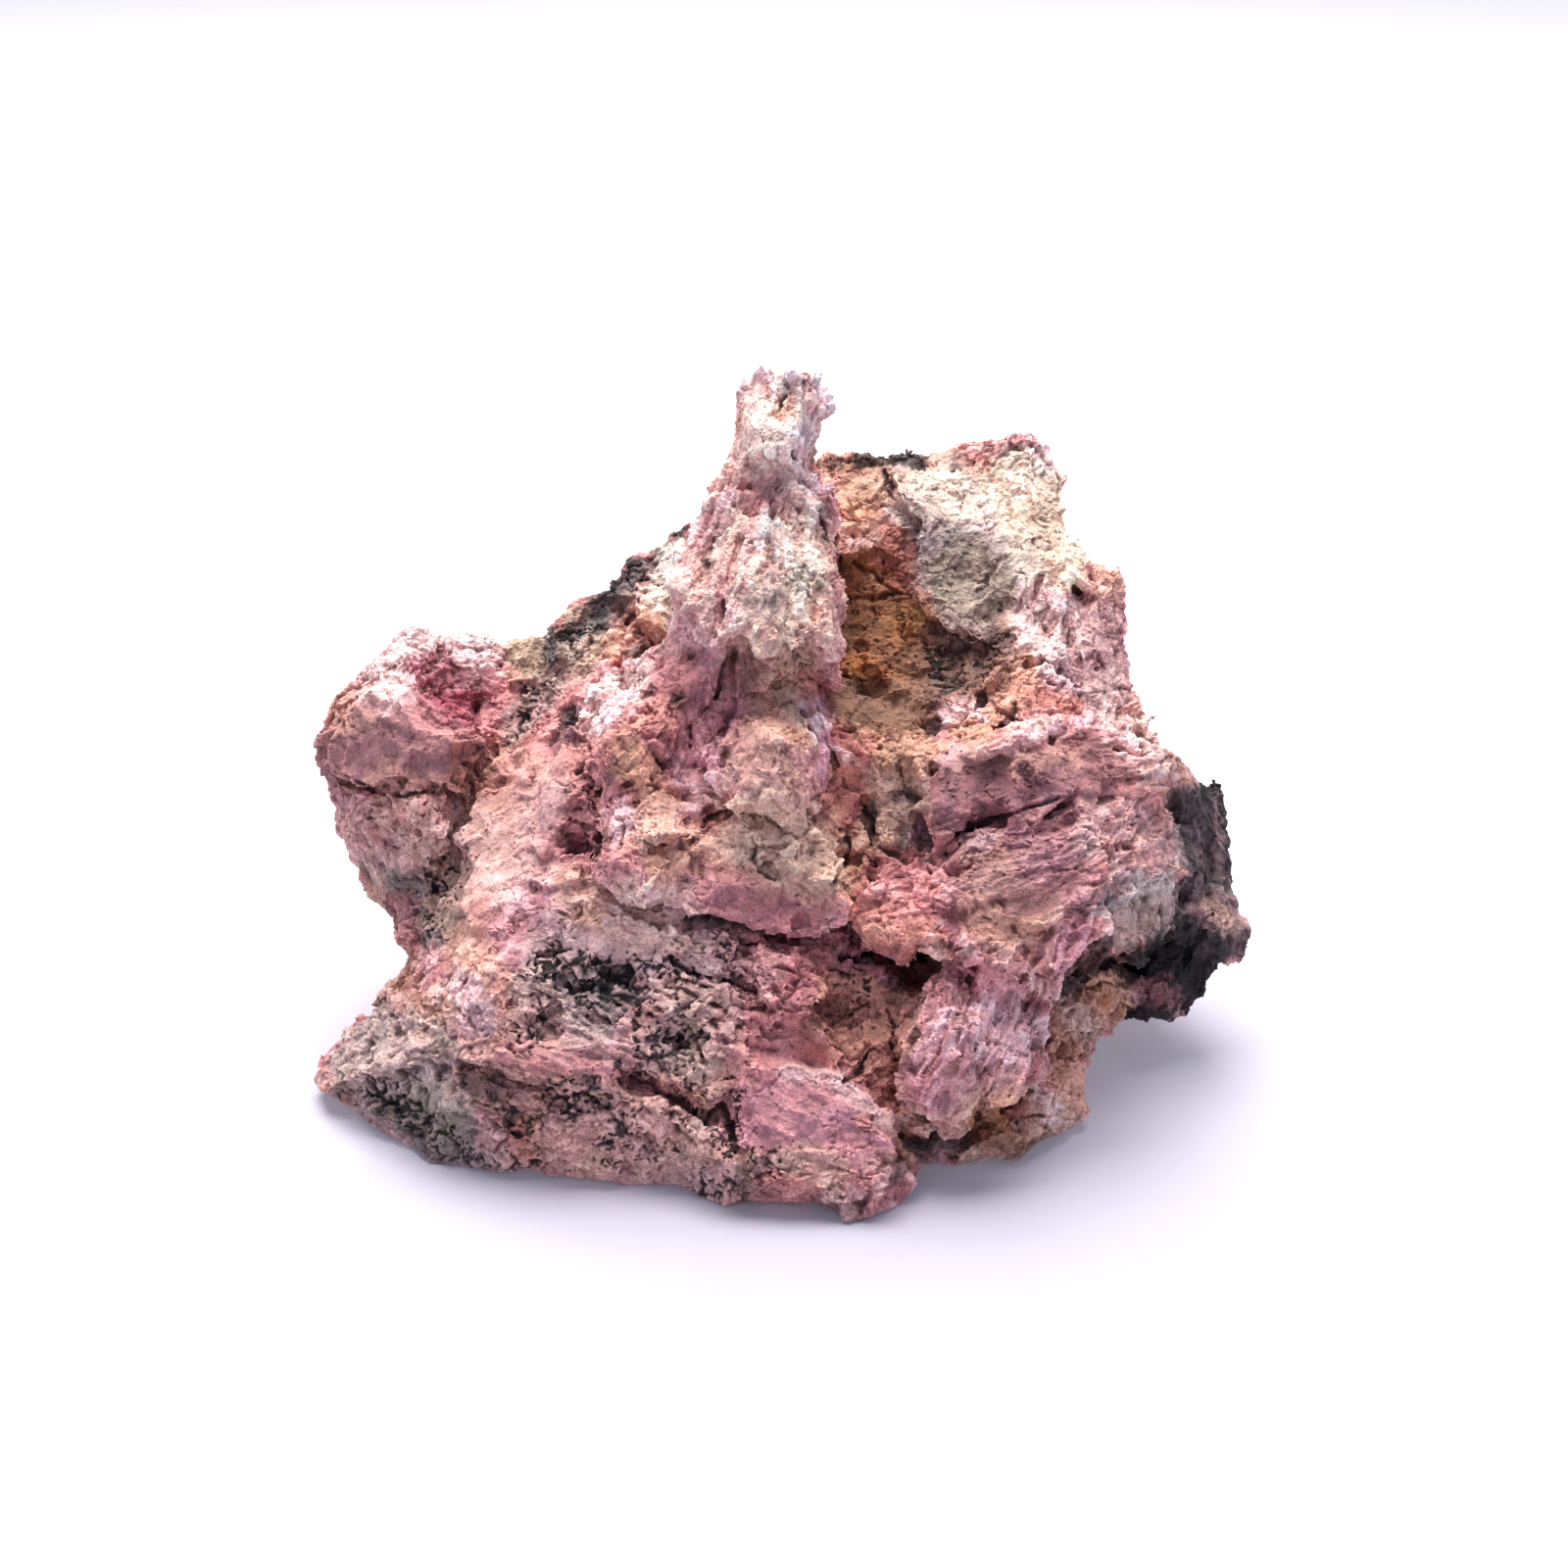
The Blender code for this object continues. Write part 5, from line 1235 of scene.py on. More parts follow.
    ("ash", 0.7, 2.2, [(590, 1015), (620, 1020), (600, 1045)]), ("ash", 0.5, 1.8, [(690, 1060), (710, 1075)]),
    ("sand", 0.5, 2.6, [(720, 1040), (740, 1075), (710, 1095)]), ("ash", 0.45, 2.4, [(740, 980), (720, 960)]),
    ("olive", 0.5, 1.4, [(550, 1010), (530, 1000)]), ("salmon", 0.5, 1.2, [(660, 1035), (650, 1060)]),
    ("pink", 0.6, 2.0, [(570, 1075), (620, 1085)]), ("pink", 0.6, 2.6, [(760, 1060), (790, 1080)]),
    ("brown", 0.6, 2.2, [(520, 1115), (560, 1115), (590, 1120)]), ("umber", 0.6, 1.2, [(480, 1100), (510, 1108)]),
    ("black", 0.95, 1.1, [(600, 1112), (608, 1122)]), ("umber", 0.8, 1.0, [(525, 1142), (538, 1146)]),
    ("ash", 0.7, 2.6, [(430, 1110), (460, 1130), (440, 1165)]), ("sand", 0.6, 1.2, [(450, 1125), (465, 1130)]),
    ("slate", 0.8, 2.2, [(400, 1130), (430, 1140), (460, 1150)]),
    ("soot", 0.7, 1.2, [(405, 1135), (430, 1150), (455, 1140)]),
    ("slate", 0.7, 1.6, [(420, 1155), (460, 1178), (490, 1185)]),
    ("ash", 0.55, 1.6, [(350, 1085), (375, 1065), (395, 1040)]), ("slate", 0.6, 1.2, [(350, 1110), (390, 1135)]),
    ("ash", 0.4, 3.0, [(400, 1050), (430, 1050)]), ("tan", 0.5, 1.6, [(430, 1030), (440, 1060)]),
    ("salmon", 0.5, 2.0, [(540, 1165), (600, 1175)]), ("pink", 0.6, 2.0, [(660, 1140), (690, 1130)]),
    ("blush", 0.6, 1.0, [(715, 1148)]), ("amber", 0.4, 1.8, [(700, 1170), (730, 1185), (760, 1195)]),
    ("ash", 0.7, 1.4, [(690, 1190), (720, 1205)]), ("slate", 0.6, 1.6, [(760, 1212), (775, 1220)]),
    ("ash", 0.6, 1.2, [(780, 1180), (800, 1185)]), ("mauve", 0.5, 3.0, [(770, 1140), (820, 1130), (880, 1150)]),
    ("pink", 0.35, 3.4, [(790, 1130), (860, 1150)]),
    ("lavender", 0.4, 2.6, [(770, 1140), (820, 1125), (860, 1120)]),
    ("lavender", 0.4, 2.0, [(830, 1160), (870, 1155), (900, 1180)]), ("mauve", 0.6, 1.0, [(840, 1118)]),
    ("blush", 0.6, 0.9, [(800, 1095), (850, 1100), (880, 1125), (915, 1150)]),
    ("sand", 0.5, 1.8, [(820, 1185), (850, 1195)]), ("ochre", 0.35, 0.9, [(880, 1145)]),
    ("slate", 0.6, 1.4, [(840, 1228), (870, 1235)]), ("salmon", 0.4, 1.8, [(790, 1215), (820, 1220)]),
    ("tan", 0.4, 1.4, [(640, 1190), (600, 1190)]),
    # The grey wedge and the black oxide
    ("grey", 0.9, 2.2, [(1140, 925), (1170, 905), (1175, 930)]), ("slate", 0.8, 1.5, [(1125, 915), (1150, 895)]),
    ("black", 0.8, 0.7, [(1110, 930), (1105, 945)]), ("umber", 0.85, 1.2, [(1115, 950), (1130, 955)]),
    ("sand", 0.6, 1.4, [(1150, 950), (1165, 945)]), ("ash", 0.9, 1.6, [(1190, 820), (1200, 850), (1195, 880)]),
    ("slate", 0.8, 1.0, [(1188, 860), (1192, 880)]), ("sand", 0.7, 0.8, [(1204, 830), (1206, 850)]),
    ("soot", 0.95, 2.6, [(1228, 815), (1240, 860), (1236, 905)]),
    ("soot", 0.95, 2.0, [(1230, 960), (1215, 1010), (1170, 1035)]), ("soot", 0.95, 3.2, [(1225, 840), (1230, 880)]),
    ("black", 0.98, 2.0, [(1200, 800), (1240, 808)]), ("brown", 0.3, 1.2, [(1225, 860), (1235, 890)]),
    ("black", 0.98, 2.6, [(1160, 975), (1190, 965), (1220, 975)]), ("soot", 0.9, 2.0, [(1215, 910), (1245, 925)]),
    ("soot", 0.9, 2.0, [(1230, 960), (1255, 960)]), ("mauve", 0.5, 1.0, [(1225, 925), (1245, 930)]),
    ("brown", 0.5, 1.0, [(1250, 940)]), ("black", 0.9, 1.4, [(1150, 1030), (1190, 1035), (1215, 1010)]),
    ("mauve", 0.65, 0.9, [(1165, 1008), (1195, 1018)]), ("black", 0.95, 1.6, [(1205, 940), (1200, 960)]),
    # A second coat, which makes whole zones lighter, darker or warmer
    ("wine", 0.5, 4.2, [(1010, 875), (1050, 885), (1095, 880)]), ("blush", 0.2, 4.0, [(970, 1050), (1030, 1070)]),
    ("mauve", 0.4, 2.6, [(790, 980), (815, 1005)]), ("ash", 0.4, 3.0, [(985, 580), (1005, 600)]),
    ("grey", 0.35, 3.4, [(370, 1070), (430, 1080)]), ("grey", 0.35, 5.0, [(580, 1010), (650, 1030), (700, 1040)]),
    ("tan", 0.3, 4.0, [(580, 1150), (680, 1165)]), ("mauve", 0.35, 3.6, [(860, 1030), (900, 1060)]),
    ("pink", 0.4, 3.0, [(730, 700), (720, 760)]), ("lavender", 0.4, 2.6, [(735, 720), (715, 780)]),
    ("grey", 0.5, 1.8, [(1150, 915), (1175, 905)]), ("tan", 0.4, 4.0, [(1020, 1150), (1060, 1160)]),
    ("pink", 0.75, 2.4, [(1130, 820), (1165, 835), (1165, 870), (1135, 885)]),
    ("ash", 0.65, 0.5, [(1218, 826), (1222, 895)]), ("mauve", 0.5, 0.6, [(1237, 822), (1243, 890)]),
    ("black", 0.9, 0.45, [(1229, 820), (1231, 900)]), ("black", 0.9, 0.4, [(1211, 820), (1212, 890)]),
    ("black", 0.8, 0.3, [(1248, 830), (1250, 890)]), ("ash", 0.8, 1.5, [(1215, 915), (1240, 920), (1255, 940)]),
    ("mauve", 0.4, 1.4, [(1228, 925), (1250, 935)]), ("sand", 0.5, 1.0, [(1235, 925), (1258, 945)]),
    ("salmon", 0.6, 3.0, [(860, 1020), (900, 1060)]), ("sand", 0.4, 3.4, [(1010, 1140), (1060, 1150)]),
    ("blush", 0.5, 2.4, [(400, 680), (430, 668), (470, 672)]), ("pink", 0.5, 3.4, [(370, 840), (430, 850)]),
    ("peach", 0.5, 1.8, [(400, 830), (440, 865)]), ("brown", 0.75, 2.4, [(868, 714), (900, 718), (928, 712)]),
    ("mauve", 0.25, 4.0, [(550, 800), (535, 850)]), ("blush", 0.3, 3.0, [(455, 900), (480, 850)]),
    ("blush", 0.4, 3.4, [(780, 835), (820, 870)]), ("sand", 0.4, 2.4, [(765, 765), (785, 790)]),
    ("wine", 0.4, 3.4, [(980, 810), (1040, 795), (1100, 785)]), ("blush", 0.4, 3.4, [(1010, 1140), (1050, 1150)]),
    ("olive", 0.4, 2.6, [(400, 1110), (450, 1135)]), ("milk", 0.6, 0.4, [(452, 1126), (460, 1130)]),
    ("milk", 0.5, 0.3, [(430, 1112)]), ("blush", 0.3, 4.4, [(600, 1160), (700, 1190)]),
    ("mauve", 0.3, 3.0, [(585, 860), (615, 880)]), ("salmon", 0.35, 2.0, [(670, 610), (680, 640)]),
    ("grey", 0.4, 2.4, [(1140, 920), (1175, 920)]), ("brown", 0.6, 1.6, [(748, 668), (760, 690)]),
    ("sand", 0.5, 1.8, [(800, 680), (825, 690)]), ("peach", 0.4, 3.4, [(770, 850), (820, 870)]),
    ("blush", 0.3, 3.2, [(600, 930), (660, 935)]), ("cream", 0.4, 3.4, [(1050, 500), (1070, 560)]),
    ("blush", 0.45, 3.0, [(1060, 630), (1085, 650)]), ("blush", 0.35, 2.2, [(1120, 640), (1125, 690)]),
    ("tan", 0.45, 3.4, [(1010, 1140), (1060, 1150)]), ("salmon", 0.3, 3.0, [(860, 1030), (900, 1060)]),
    ("sand", 0.35, 3.4, [(865, 1030), (905, 1060)]), ("milk", 0.2, 3.4, [(800, 400), (800, 470)]),
    ("blush", 0.35, 3.2, [(785, 470), (790, 520), (790, 560)]),
    ("petal", 0.3, 3.4, [(715, 555), (705, 600), (725, 640)]), ("blush", 0.3, 3.2, [(835, 570), (848, 640)]),
    ("blush", 0.2, 2.4, [(740, 648), (800, 652)]), ("petal", 0.25, 3.0, [(390, 672), (480, 668)]),
    ("plum", 0.35, 3.0, [(445, 700), (470, 720)]), ("blush", 0.3, 3.4, [(365, 845), (430, 840)]),
    ("olive", 0.2, 3.4, [(410, 890), (450, 920)]), ("mauve", 0.35, 2.0, [(585, 760), (588, 830)]),
    ("tan", 0.35, 3.4, [(780, 845), (835, 885)]), ("wine", 0.25, 2.6, [(985, 795), (1115, 790)]),
    ("grey", 0.35, 3.4, [(1135, 850), (1165, 870)]), ("grey", 0.2, 3.0, [(1140, 925), (1175, 915)]),
    ("slate", 0.25, 2.2, [(1225, 925), (1245, 930)]), ("mauve", 0.15, 4.4, [(970, 1060), (1030, 1090)]),
    ("tan", 0.35, 3.6, [(1005, 1145), (1060, 1155)]), ("ash", 0.35, 3.0, [(980, 590), (1005, 600)]),
    ("ochre", 0.35, 3.6, [(885, 620), (905, 670)]), ("amber", 0.35, 2.8, [(870, 720), (915, 722)]),
    ("brown", 0.2, 3.4, [(970, 675), (995, 695)]), ("ash", 0.15, 3.4, [(1120, 640), (1125, 690)]),
    ("ash", 0.15, 3.6, [(500, 1075), (545, 1085)]), ("grey", 0.35, 3.4, [(370, 1080), (430, 1082)]),
    ("grey", 0.15, 4.4, [(420, 1140), (470, 1160)]), ("ash", 0.7, 0.9, [(1216, 822), (1220, 896)]),
    ("ash", 0.5, 0.6, [(1238, 816), (1242, 896)]), ("black", 0.9, 0.4, [(1229, 818), (1232, 900)]),
    ("black", 0.9, 0.4, [(1206, 818), (1208, 890)]), ("grey", 0.7, 0.9, [(1198, 822), (1202, 850), (1196, 880)]),
    ("sand", 0.35, 1.6, [(1150, 940), (1180, 930)]), ("black", 0.85, 0.8, [(1112, 925), (1122, 915), (1128, 932)]),
    ("soot", 0.7, 0.5, [(1150, 905), (1130, 918)]), ("milk", 0.3, 1.2, [(1165, 905), (1185, 895)]),
    ("rose", 0.35, 0.9, [(838, 690), (846, 730), (850, 750)]), ("cream", 0.25, 3.4, [(790, 560), (800, 640)]),
    ("tan", 0.15, 2.4, [(740, 648), (800, 652)]), ("cream", 0.25, 3.2, [(775, 845), (830, 885)]),
    ("blush", 0.35, 3.6, [(1005, 1145), (1060, 1155)]), ("tan", 0.2, 3.2, [(970, 675), (995, 695)]),
    ("brown", 0.45, 2.6, [(868, 722), (912, 722)]), ("peach", 0.25, 1.2, [(985, 775), (1090, 772)]),
    ("wine", 0.25, 2.6, [(445, 700), (470, 720)]), ("wine", 0.15, 2.0, [(585, 760), (588, 830)]),
    ("blush", 0.2, 3.0, [(390, 672), (480, 668)]), ("slate", 0.2, 3.0, [(980, 590), (1005, 600)]),
    ("wine", 0.12, 4.0, [(360, 765), (440, 770)]), ("brick", 0.15, 4.0, [(365, 760), (440, 768)]),
    ("rose", 0.3, 1.6, [(440, 684), (452, 700), (466, 718)]),
    # Pink fibres and pale ones between them, down the skirt
    ("pink", 0.5, 0.5, [(762, 500), (745, 545), (738, 600), (735, 628)]),
    ("pink", 0.45, 0.5, [(775, 505), (768, 560), (760, 604)]), ("pink", 0.5, 0.8, [(722, 530), (712, 570)]),
    ("pink", 0.5, 0.5, [(848, 480), (856, 530), (852, 600), (842, 650)]),
    ("salmon", 0.4, 0.4, [(728, 570), (722, 615)]), ("cream", 0.5, 0.6, [(752, 520), (742, 580)]),
    ("cream", 0.6, 1.4, [(812, 560), (820, 600)]), ("milk", 0.4, 1.2, [(790, 540), (800, 570)]),
    ("umber", 0.35, 2.8, [(970, 680), (1000, 690)]), ("olive", 0.5, 3.2, [(985, 590), (1000, 600)]),
    # The rusty neck and foot, over the second coat
    ("umber", 0.9, 1.8, [(1095, 1000), (1120, 985), (1135, 1000)]), ("black", 0.8, 0.8, [(1095, 1010)]),
    ("tan", 0.8, 2.2, [(1130, 1020), (1100, 1045), (1080, 1070)]), ("ochre", 0.7, 0.8, [(1128, 1020)]),
    ("rust", 0.85, 0.9, [(1085, 1082), (1075, 1065)]), ("grey", 0.5, 1.4, [(1085, 1020), (1110, 1050)]),
    ("tan", 0.7, 2.8, [(1000, 1135), (1030, 1145)]), ("brown", 0.4, 2.0, [(1000, 1145), (1020, 1155), (990, 1160)]),
    ("ochre", 0.5, 1.6, [(1000, 1150), (1030, 1130)]), ("blush", 0.6, 1.0, [(1050, 1110), (1070, 1135)]),
    ("mauve", 0.6, 1.0, [(1035, 1130), (1050, 1150)]), ("peach", 0.8, 1.6, [(1090, 1100), (1105, 1120)]),
    ("sand", 0.8, 1.3, [(1060, 1165), (1010, 1190), (985, 1185)]), ("ash", 0.7, 1.2, [(960, 1150), (975, 1170)]),
    # The black and umber at the gap between the front and the foot are a painted shadow
    ("black", 0.95, 1.2, [(935, 1172), (950, 1180)]), ("umber", 0.7, 1.2, [(915, 1190)]),
    ("umber", 0.5, 0.7, [(1030, 1185), (1065, 1160)]), ("rust", 0.5, 1.0, [(1020, 1170), (1045, 1165)]),
]
print(len(PAINT), "strokes of paint")


# %% The first colours, without strokes
def blend(colour, pigment, share):
    """Lays a pigment over the colours, by a share for each point."""
    return colour + (np.asarray(pigment) - colour) * share[:, None]


pigments = {name: np.array(linear(value)) for name, value in PIGMENTS.items()}
patches = ramp(noise(smooth_points, 7.0, 91), -0.3, 0.4)
flecks = ramp(noise(smooth_points, 1.8, 92, 5.0), -0.25, 0.35)
specks = ramp(noise(smooth_points, 0.6, 93, 5.0), -0.3, 0.4)
colour = np.tile(pigments["pink"], (len(smooth_points), 1))
colour = blend(colour, pigments["mauve"], patches * 0.6)
colour = blend(colour, pigments["tan"], ramp(noise(smooth_points, 9.0, 94), 0.0, 0.4) * 0.7)
colour = blend(colour, pigments["blush"], flecks * 0.45)
back = ramp(smooth_points @ -NEAR, 4.0, 12.0)
BACK_PIGMENTS = (("brick", 11.0, 95), ("ash", 9.0, 96), ("soot", 6.0, 97), ("amber", 8.0, 98), ("grey", 7.0, 99))
for name, size, seed in BACK_PIGMENTS:
    colour = blend(colour, pigments[name], back * ramp(noise(places, size, seed), 0.12, 0.3) * 0.6)
print("share of the skin that faces away:", round(float(back.mean()), 3))

# %% Lay the strokes of paint
FACE_BORDER_MM = 0.4
STROKE_BORDER_MM = 0.5
for (_, _, _, name, share, _), (near, depth) in zip(FACES, shown_faces):
    depth = depth + (specks[near] - 0.5) * FACE_BORDER_MM
    colour[near] = blend(colour[near], pigments[name], ramp(depth, -0.15, 0.2) * share)
seen_places = seen(places)
seen_traced = seen(traced)
for name, share, radius, pixels in PAINT:
    path = seen(path_points(pixels))
    close = seen_places if radius > 1 else seen_traced
    near = near_box(close, path, radius + 0.6)
    depth = radius - distance_to(close[near], path) + (specks[near] - 0.5) * STROKE_BORDER_MM
    colour[near] = blend(colour[near], pigments[name], ramp(depth, -0.35, 0.45) * share)
print("painted, mean:", colour.mean(axis=0).round(3))

# %% Streaks along the fibres, veins and cracks
silky = parts["silky"] * (1 - np.clip(veins, 0, 1))
colour = blend(colour, colour * np.array((0.72, 0.55, 0.56)), silky * ramp(-streaks, 0.0, 0.35) * 0.7)
colour = blend(colour, np.minimum(colour * 1.35 + 0.02, 0.95), silky * ramp(streaks, 0.05, 0.4) * 0.6)
colour = blend(colour, pigments["black"], veins * 0.95)
# The cracks are painted dark umber: partly the stain that fills them, partly painted shade in their depth
crack_share = np.maximum(ramp(split_lines, -0.1, 0.08) * 0.85, flake_splits * 0.35)
colour = blend(colour, pigments["umber"] * 0.6, crack_share)
print("veined and cracked, mean:", colour.mean(axis=0).round(3))

# %% Painted highlights on the crests, painted shade in the hollows
# What full painted shade in the hollows leaves of each colour channel
SHADE_TINT = np.array((0.25, 0.185, 0.18))
SHADE_FINE, SHADE_SMALL, SHADE_WIDE = 0.38, 0.55, 0.6
HIGHLIGHT_SHARE = 0.36
LIT_SKIRT = (9.0, [(800, 420), (770, 520), (750, 580)])
darkness = 1 - np.clip(colour.mean(axis=1) / 0.25, 0, 1)
# On the lit skirt of the spire the fine painted shade is weaker
on_lit_skirt = ramp(within(places, [LIT_SKIRT], 1.0), -0.5, 0.7)
# Painted highlights: the crests are painted lighter in their own colour, where light catches them
crest_highlight = ramp(crest_fine, 0.0, 0.07) * HIGHLIGHT_SHARE + ramp(crest_small, 0.02, 0.25) * HIGHLIGHT_SHARE
bright = np.minimum(colour * 1.5 + np.array((0.05, 0.03, 0.025)), 0.93)
colour = blend(colour, bright, crest_highlight * (1 - darkness * 0.85))
colour *= (1 + (specks - 0.5) * 0.22 + (flecks - 0.5) * 0.22)[:, None]
# Painted shade: the hollows, at three sizes, are painted darker where shade falls into them
fine_shade_share = 1 - 0.45 * on_lit_skirt
unshaded = 1 - fine_shade_share * ramp(-crest_fine, 0.03, 0.12) * SHADE_FINE
unshaded *= 1 - ramp(-crest_small, 0.05, 0.35) * SHADE_SMALL
unshaded *= 1 - ramp(-crest_wide, 0.15, 0.8) * SHADE_WIDE
painted_shade = 1 - unshaded
colour *= 1 - painted_shade[:, None] * (1 - SHADE_TINT)

# %% Store the paint on the skin
# The stored pigment holds the painted highlights and painted shade too
painted = np.column_stack([np.clip(colour, 0, 1), np.ones(len(colour))])
pigment = skin.attributes.new("pigment", "FLOAT_COLOR", "POINT")
pigment.data.foreach_set("color", painted.astype(np.float32).ravel())
silky_skin = skin.attributes.new("silky", "FLOAT", "POINT")
silky_skin.data.foreach_set("value", parts["silky"].astype(np.float32))
print("mean pigment:", colour.mean(axis=0).round(3), "and silky share:", round(float(parts["silky"].mean()), 3))

# %% [markdown]
# ## Material
# Inesite is a silicate with a refractive index of about 1.63, dull where it is oxidised and silky where a blade
# is fresh. The colour painted above, with its painted highlights and painted shade, is its base colour. Nodes
# add the specks that are finer than the mesh.
# The real powdery grain is under 0.1 mm and wouldn't show, so it is drawn at 0.2 to 0.3 mm.


# %% Stone material
SPECK_MM = 0.22
BUMP_GRAIN_MM = 0.3
BUMP_MM = 0.12
DULL_ROUGHNESS, SILKY_ROUGHNESS = 0.85, 0.55
INESITE_IOR = 1.63


def stone_material():
    """Broken, weathered silicate: the paint, specks finer than the mesh, and a dull to silky sheen."""
    material = bpy.data.materials.new("broken_inesite")
    material.use_nodes = True
    tree = material.node_tree
    shader = tree.nodes["Principled BSDF"]
    place = add_node(tree, "ShaderNodeTexCoord").outputs["Object"]

    def speckle(size_mm):
        """Rough noise with specks of a size in mm."""
        return add_node(
            tree, "ShaderNodeTexNoise", None, Vector=place, Scale=1 / (size_mm * MM), Detail=4.0, Roughness=0.65
        ).outputs["Fac"]

    def ranged(value, low, high, to_low, to_high):
        """A value moved from one range to another."""
        return add_node(
            tree, "ShaderNodeMapRange", None, Value=value, From_Min=low, From_Max=high, To_Min=to_low, To_Max=to_high
        ).outputs["Result"]

    painted = add_node(tree, "ShaderNodeAttribute", {"attribute_name": "pigment"}).outputs["Color"]
    silky = add_node(tree, "ShaderNodeAttribute", {"attribute_name": "silky"}).outputs["Fac"]
    fine = ranged(speckle(SPECK_MM), 0.36, 0.64, 0.66, 1.26)
    shaded = add_node(tree, "ShaderNodeVectorMath", {"operation": "SCALE"}, Vector=painted, Scale=fine).outputs[0]
    tree.links.new(shaded, shader.inputs["Base Color"])
    bump = add_node(tree, "ShaderNodeBump", None, Height=speckle(BUMP_GRAIN_MM), Distance=BUMP_MM * MM, Strength=0.9)
    tree.links.new(bump.outputs[0], shader.inputs["Normal"])
    tree.links.new(ranged(silky, 0.0, 1.0, DULL_ROUGHNESS, SILKY_ROUGHNESS), shader.inputs["Roughness"])
    shader.inputs["IOR"].default_value = INESITE_IOR
    return material


stone_finish = stone_material()
skin.materials.clear()
skin.materials.append(stone_finish)

# %% [markdown]
# ## The pieces
# The finished skin is thinned where it is plain, so that the whole stone stays under a million triangles. Then
# it is parted into five strips from left to right, with equal numbers of triangles. Neighbours share their
# border points, so no seam shows from any side.

# %% Thin the skin
MOST_TRIANGLES = 960000


def thinned(mesh, most):
    """The same mesh in triangles, no more of them than a limit, and fewer where it is plain."""
    share = min(1.0, most / (2 * len(mesh.polygons)))
    return modified(mesh, ("TRIANGULATE", {}), ("DECIMATE", {"ratio": share, "use_collapse_triangulate": True}))


thin_skin = thinned(skin, MOST_TRIANGLES)
print("the skin:", 2 * len(skin.polygons), "triangles, thinned to", len(thin_skin.polygons))


# %% Leave out what floats
def in_main_body(mesh):
    """Which points belong to the largest connected part of a mesh, and not to a crumb or a bubble."""
    edges = edges_of(mesh)
    root = np.arange(len(mesh.vertices))
    while True:
        ends = root[edges]
        apart = ends[ends[:, 0] != ends[:, 1]]
        if not len(apart):
            return root == np.bincount(root).argmax()
        np.minimum.at(root, apart.max(axis=1), apart.min(axis=1))
        while (root[root] != root).any():
            root = root[root]


# %% Part the skin into strips
def strip(mesh, triangles):
    """Some triangles of a mesh as a mesh of their own, with the same paint and finish."""
    used, renumbered = np.unique(triangles, return_inverse=True)
    made = bpy.data.meshes.new("strip")
    made.from_pydata((points_of(mesh)[used] * MM).tolist(), [], renumbered.reshape(-1, 3).tolist())
    for name, kind, field, size in (("pigment", "FLOAT_COLOR", "color", 4), ("silky", "FLOAT", "value", 1)):
        values = np.empty(len(mesh.vertices) * size, dtype=np.float32)
        mesh.attributes[name].data.foreach_get(field, values)
        kept = values.reshape(-1, size)[used]
        made.attributes.new(name, kind, "POINT").data.foreach_set(field, kept.ravel())
    made.materials.append(stone_finish)
    return made


STRIPS = ("left", "middle_left", "middle", "middle_right", "right")
corners = np.empty(len(thin_skin.loops), dtype=np.int32)
thin_skin.loops.foreach_get("vertex_index", corners)
triangles = corners.reshape(-1, 3)
triangles = triangles[in_main_body(thin_skin)[triangles[:, 0]]]
print("left out:", len(thin_skin.polygons) - len(triangles), "triangles of crumbs and bubbles")
middles = points_of(thin_skin)[triangles].mean(axis=1)[:, 0]
borders = np.quantile(middles, np.arange(1, len(STRIPS)) / len(STRIPS))
strip_of = np.searchsorted(borders, middles)

# %% Put the strips in the scene
for number, name in enumerate(STRIPS):
    piece = bpy.data.objects.new("inesite_" + name, strip(thin_skin, triangles[strip_of == number]))
    bpy.context.scene.collection.objects.link(piece)
    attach(piece, "root")
    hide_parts(STONE)
    print(piece.name, len(piece.data.polygons), "triangles")

# %% [markdown]
# ## Stage
# A pale table and a large soft lamp above and a little behind the stone, as in the photograph: bright tops,
# a darker front, and a soft lavender shadow.

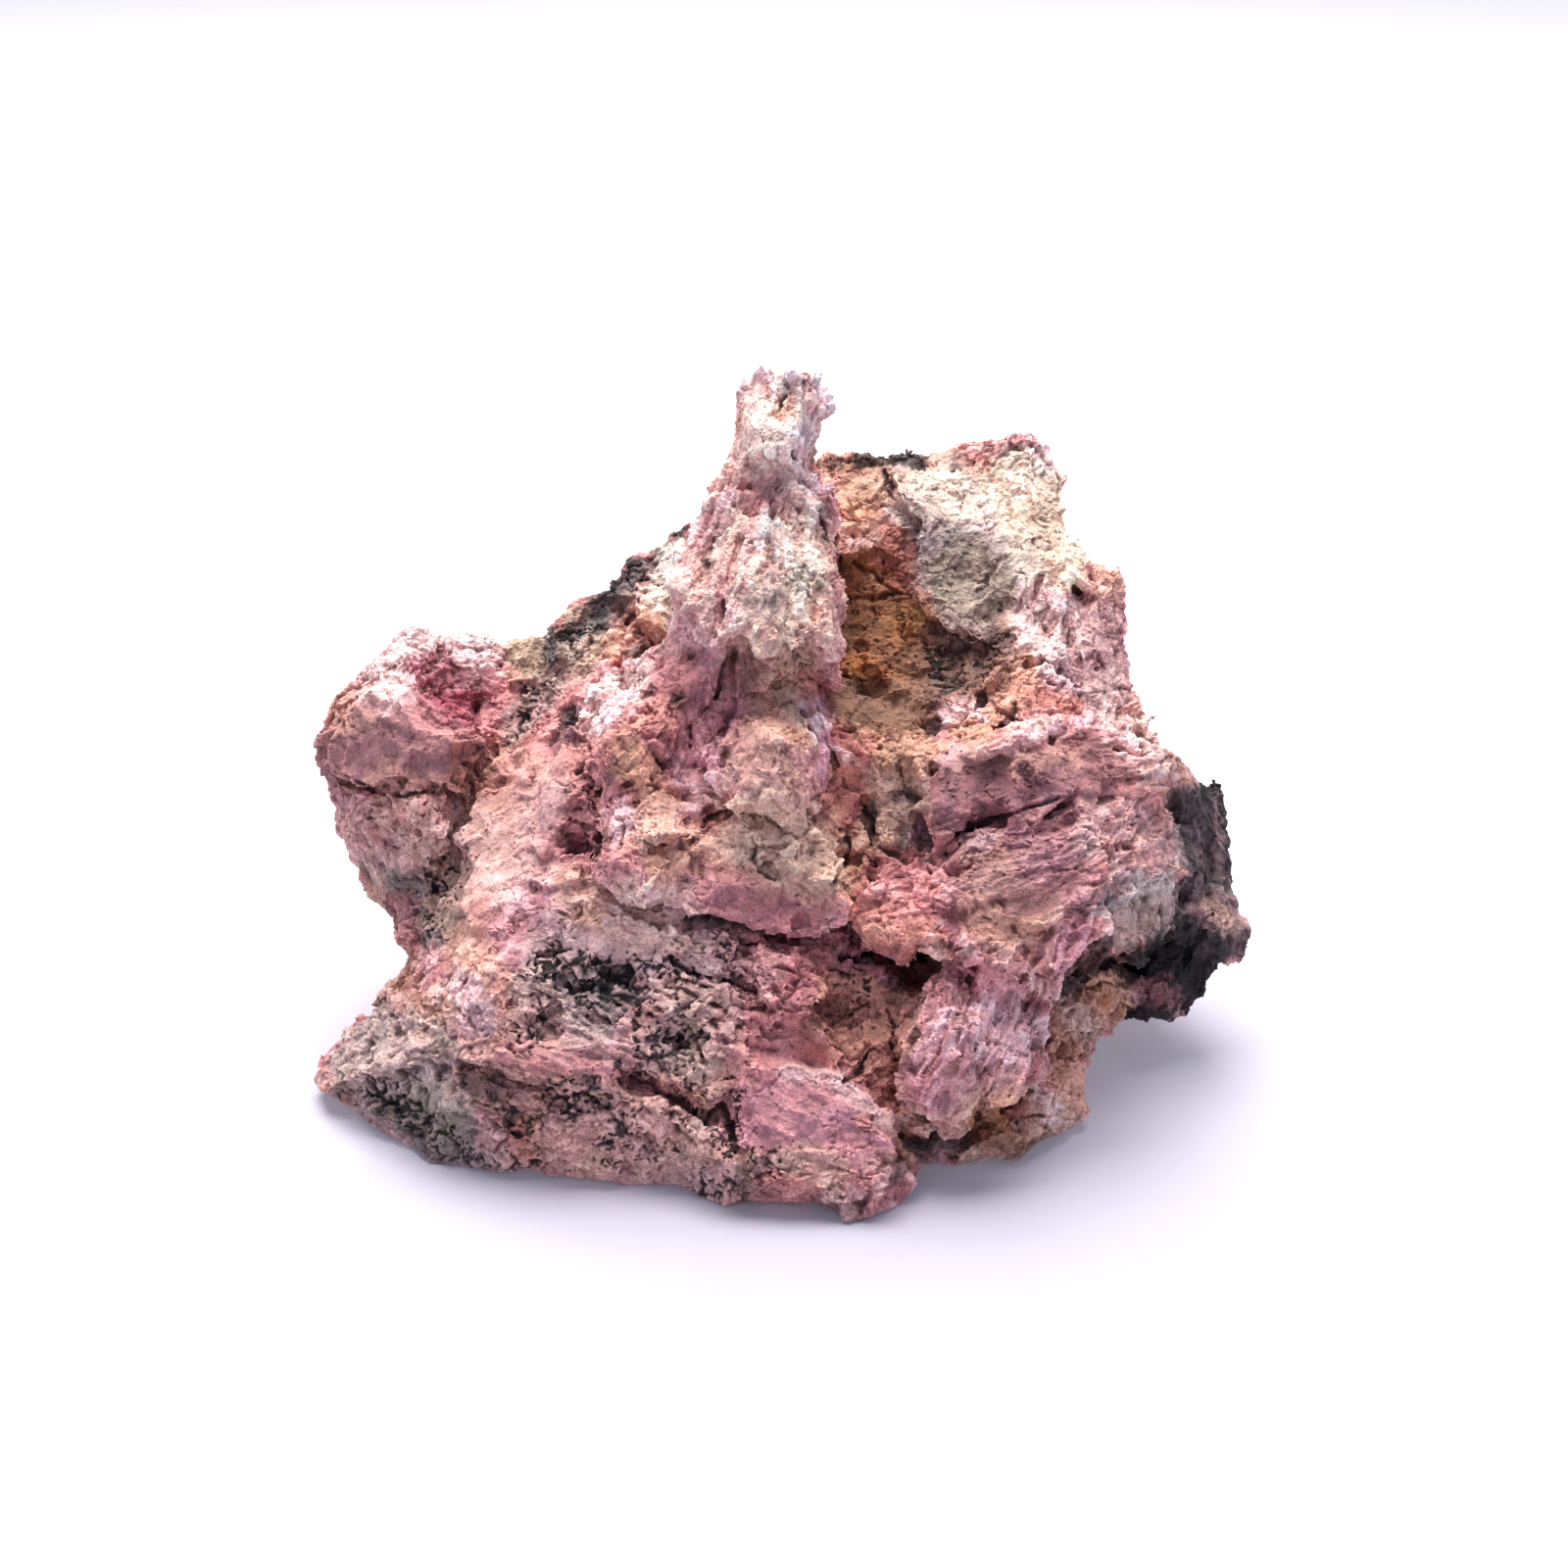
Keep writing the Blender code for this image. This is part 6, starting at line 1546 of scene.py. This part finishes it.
# %% Table
TABLE_REACH = 3.0
table_mesh = bpy.data.meshes.new("table")
table_corners = [(x * TABLE_REACH, y * TABLE_REACH, 0) for x, y in ((-1, -1), (1, -1), (1, 1), (-1, 1))]
table_mesh.from_pydata(table_corners, [], [(0, 1, 2, 3)])
table = bpy.data.objects.new("table", table_mesh)
bpy.context.scene.collection.objects.link(table)

# %% White card: dull, with a faint glow behind the stone for the light of a bright room
table_material = bpy.data.materials.new("white_card")
table_material.use_nodes = True
table_tree = table_material.node_tree
card = table_tree.nodes["Principled BSDF"]
card.inputs["Base Color"].default_value = (*linear("#BEBDCA"), 1)
card.inputs["Roughness"].default_value = 0.9
card.inputs["Emission Color"].default_value = (*linear("#EEF0FF"), 1)
table_place = add_node(table_tree, "ShaderNodeTexCoord").outputs["Object"]
depth = add_node(table_tree, "ShaderNodeSeparateXYZ", None, Vector=table_place)
# The glow is painted light: it rises from 3 cm in front of the stone's middle to 2.5 cm behind it, and so also
# lightens the stone's shadow on the card
glow = add_node(
    table_tree, "ShaderNodeMapRange", None,
    Value=depth.outputs["Y"], From_Min=-0.03, From_Max=0.025, To_Min=0.02, To_Max=0.4,
)
table_tree.links.new(glow.outputs["Result"], card.inputs["Emission Strength"])
table_mesh.materials.append(table_material)
print("table:", 2 * TABLE_REACH, "m across")

# %% Soft room and a large window
world = bpy.data.worlds.new("soft_room")
bpy.context.scene.world = world
world.use_nodes = True
world.node_tree.nodes["Background"].inputs["Color"].default_value = (*linear("#E3E2FF"), 1)
world.node_tree.nodes["Background"].inputs["Strength"].default_value = 0.52

lamp = bpy.data.objects.new("window", bpy.data.lights.new("window", "AREA"))
lamp.data.energy = 7.6
lamp.data.color = linear("#FFFAF4")
lamp.data.size = 0.5
lamp.location = (-0.03, 0.2, 0.5)
lamp.rotation_euler = (Vector((0, 0, 0.02)) - lamp.location).to_track_quat("-Z", "Y").to_euler()
bpy.context.scene.collection.objects.link(lamp)
bpy.context.scene.view_settings.view_transform = "Standard"
print("window:", lamp.data.energy, "W and", lamp.data.size, "m across")
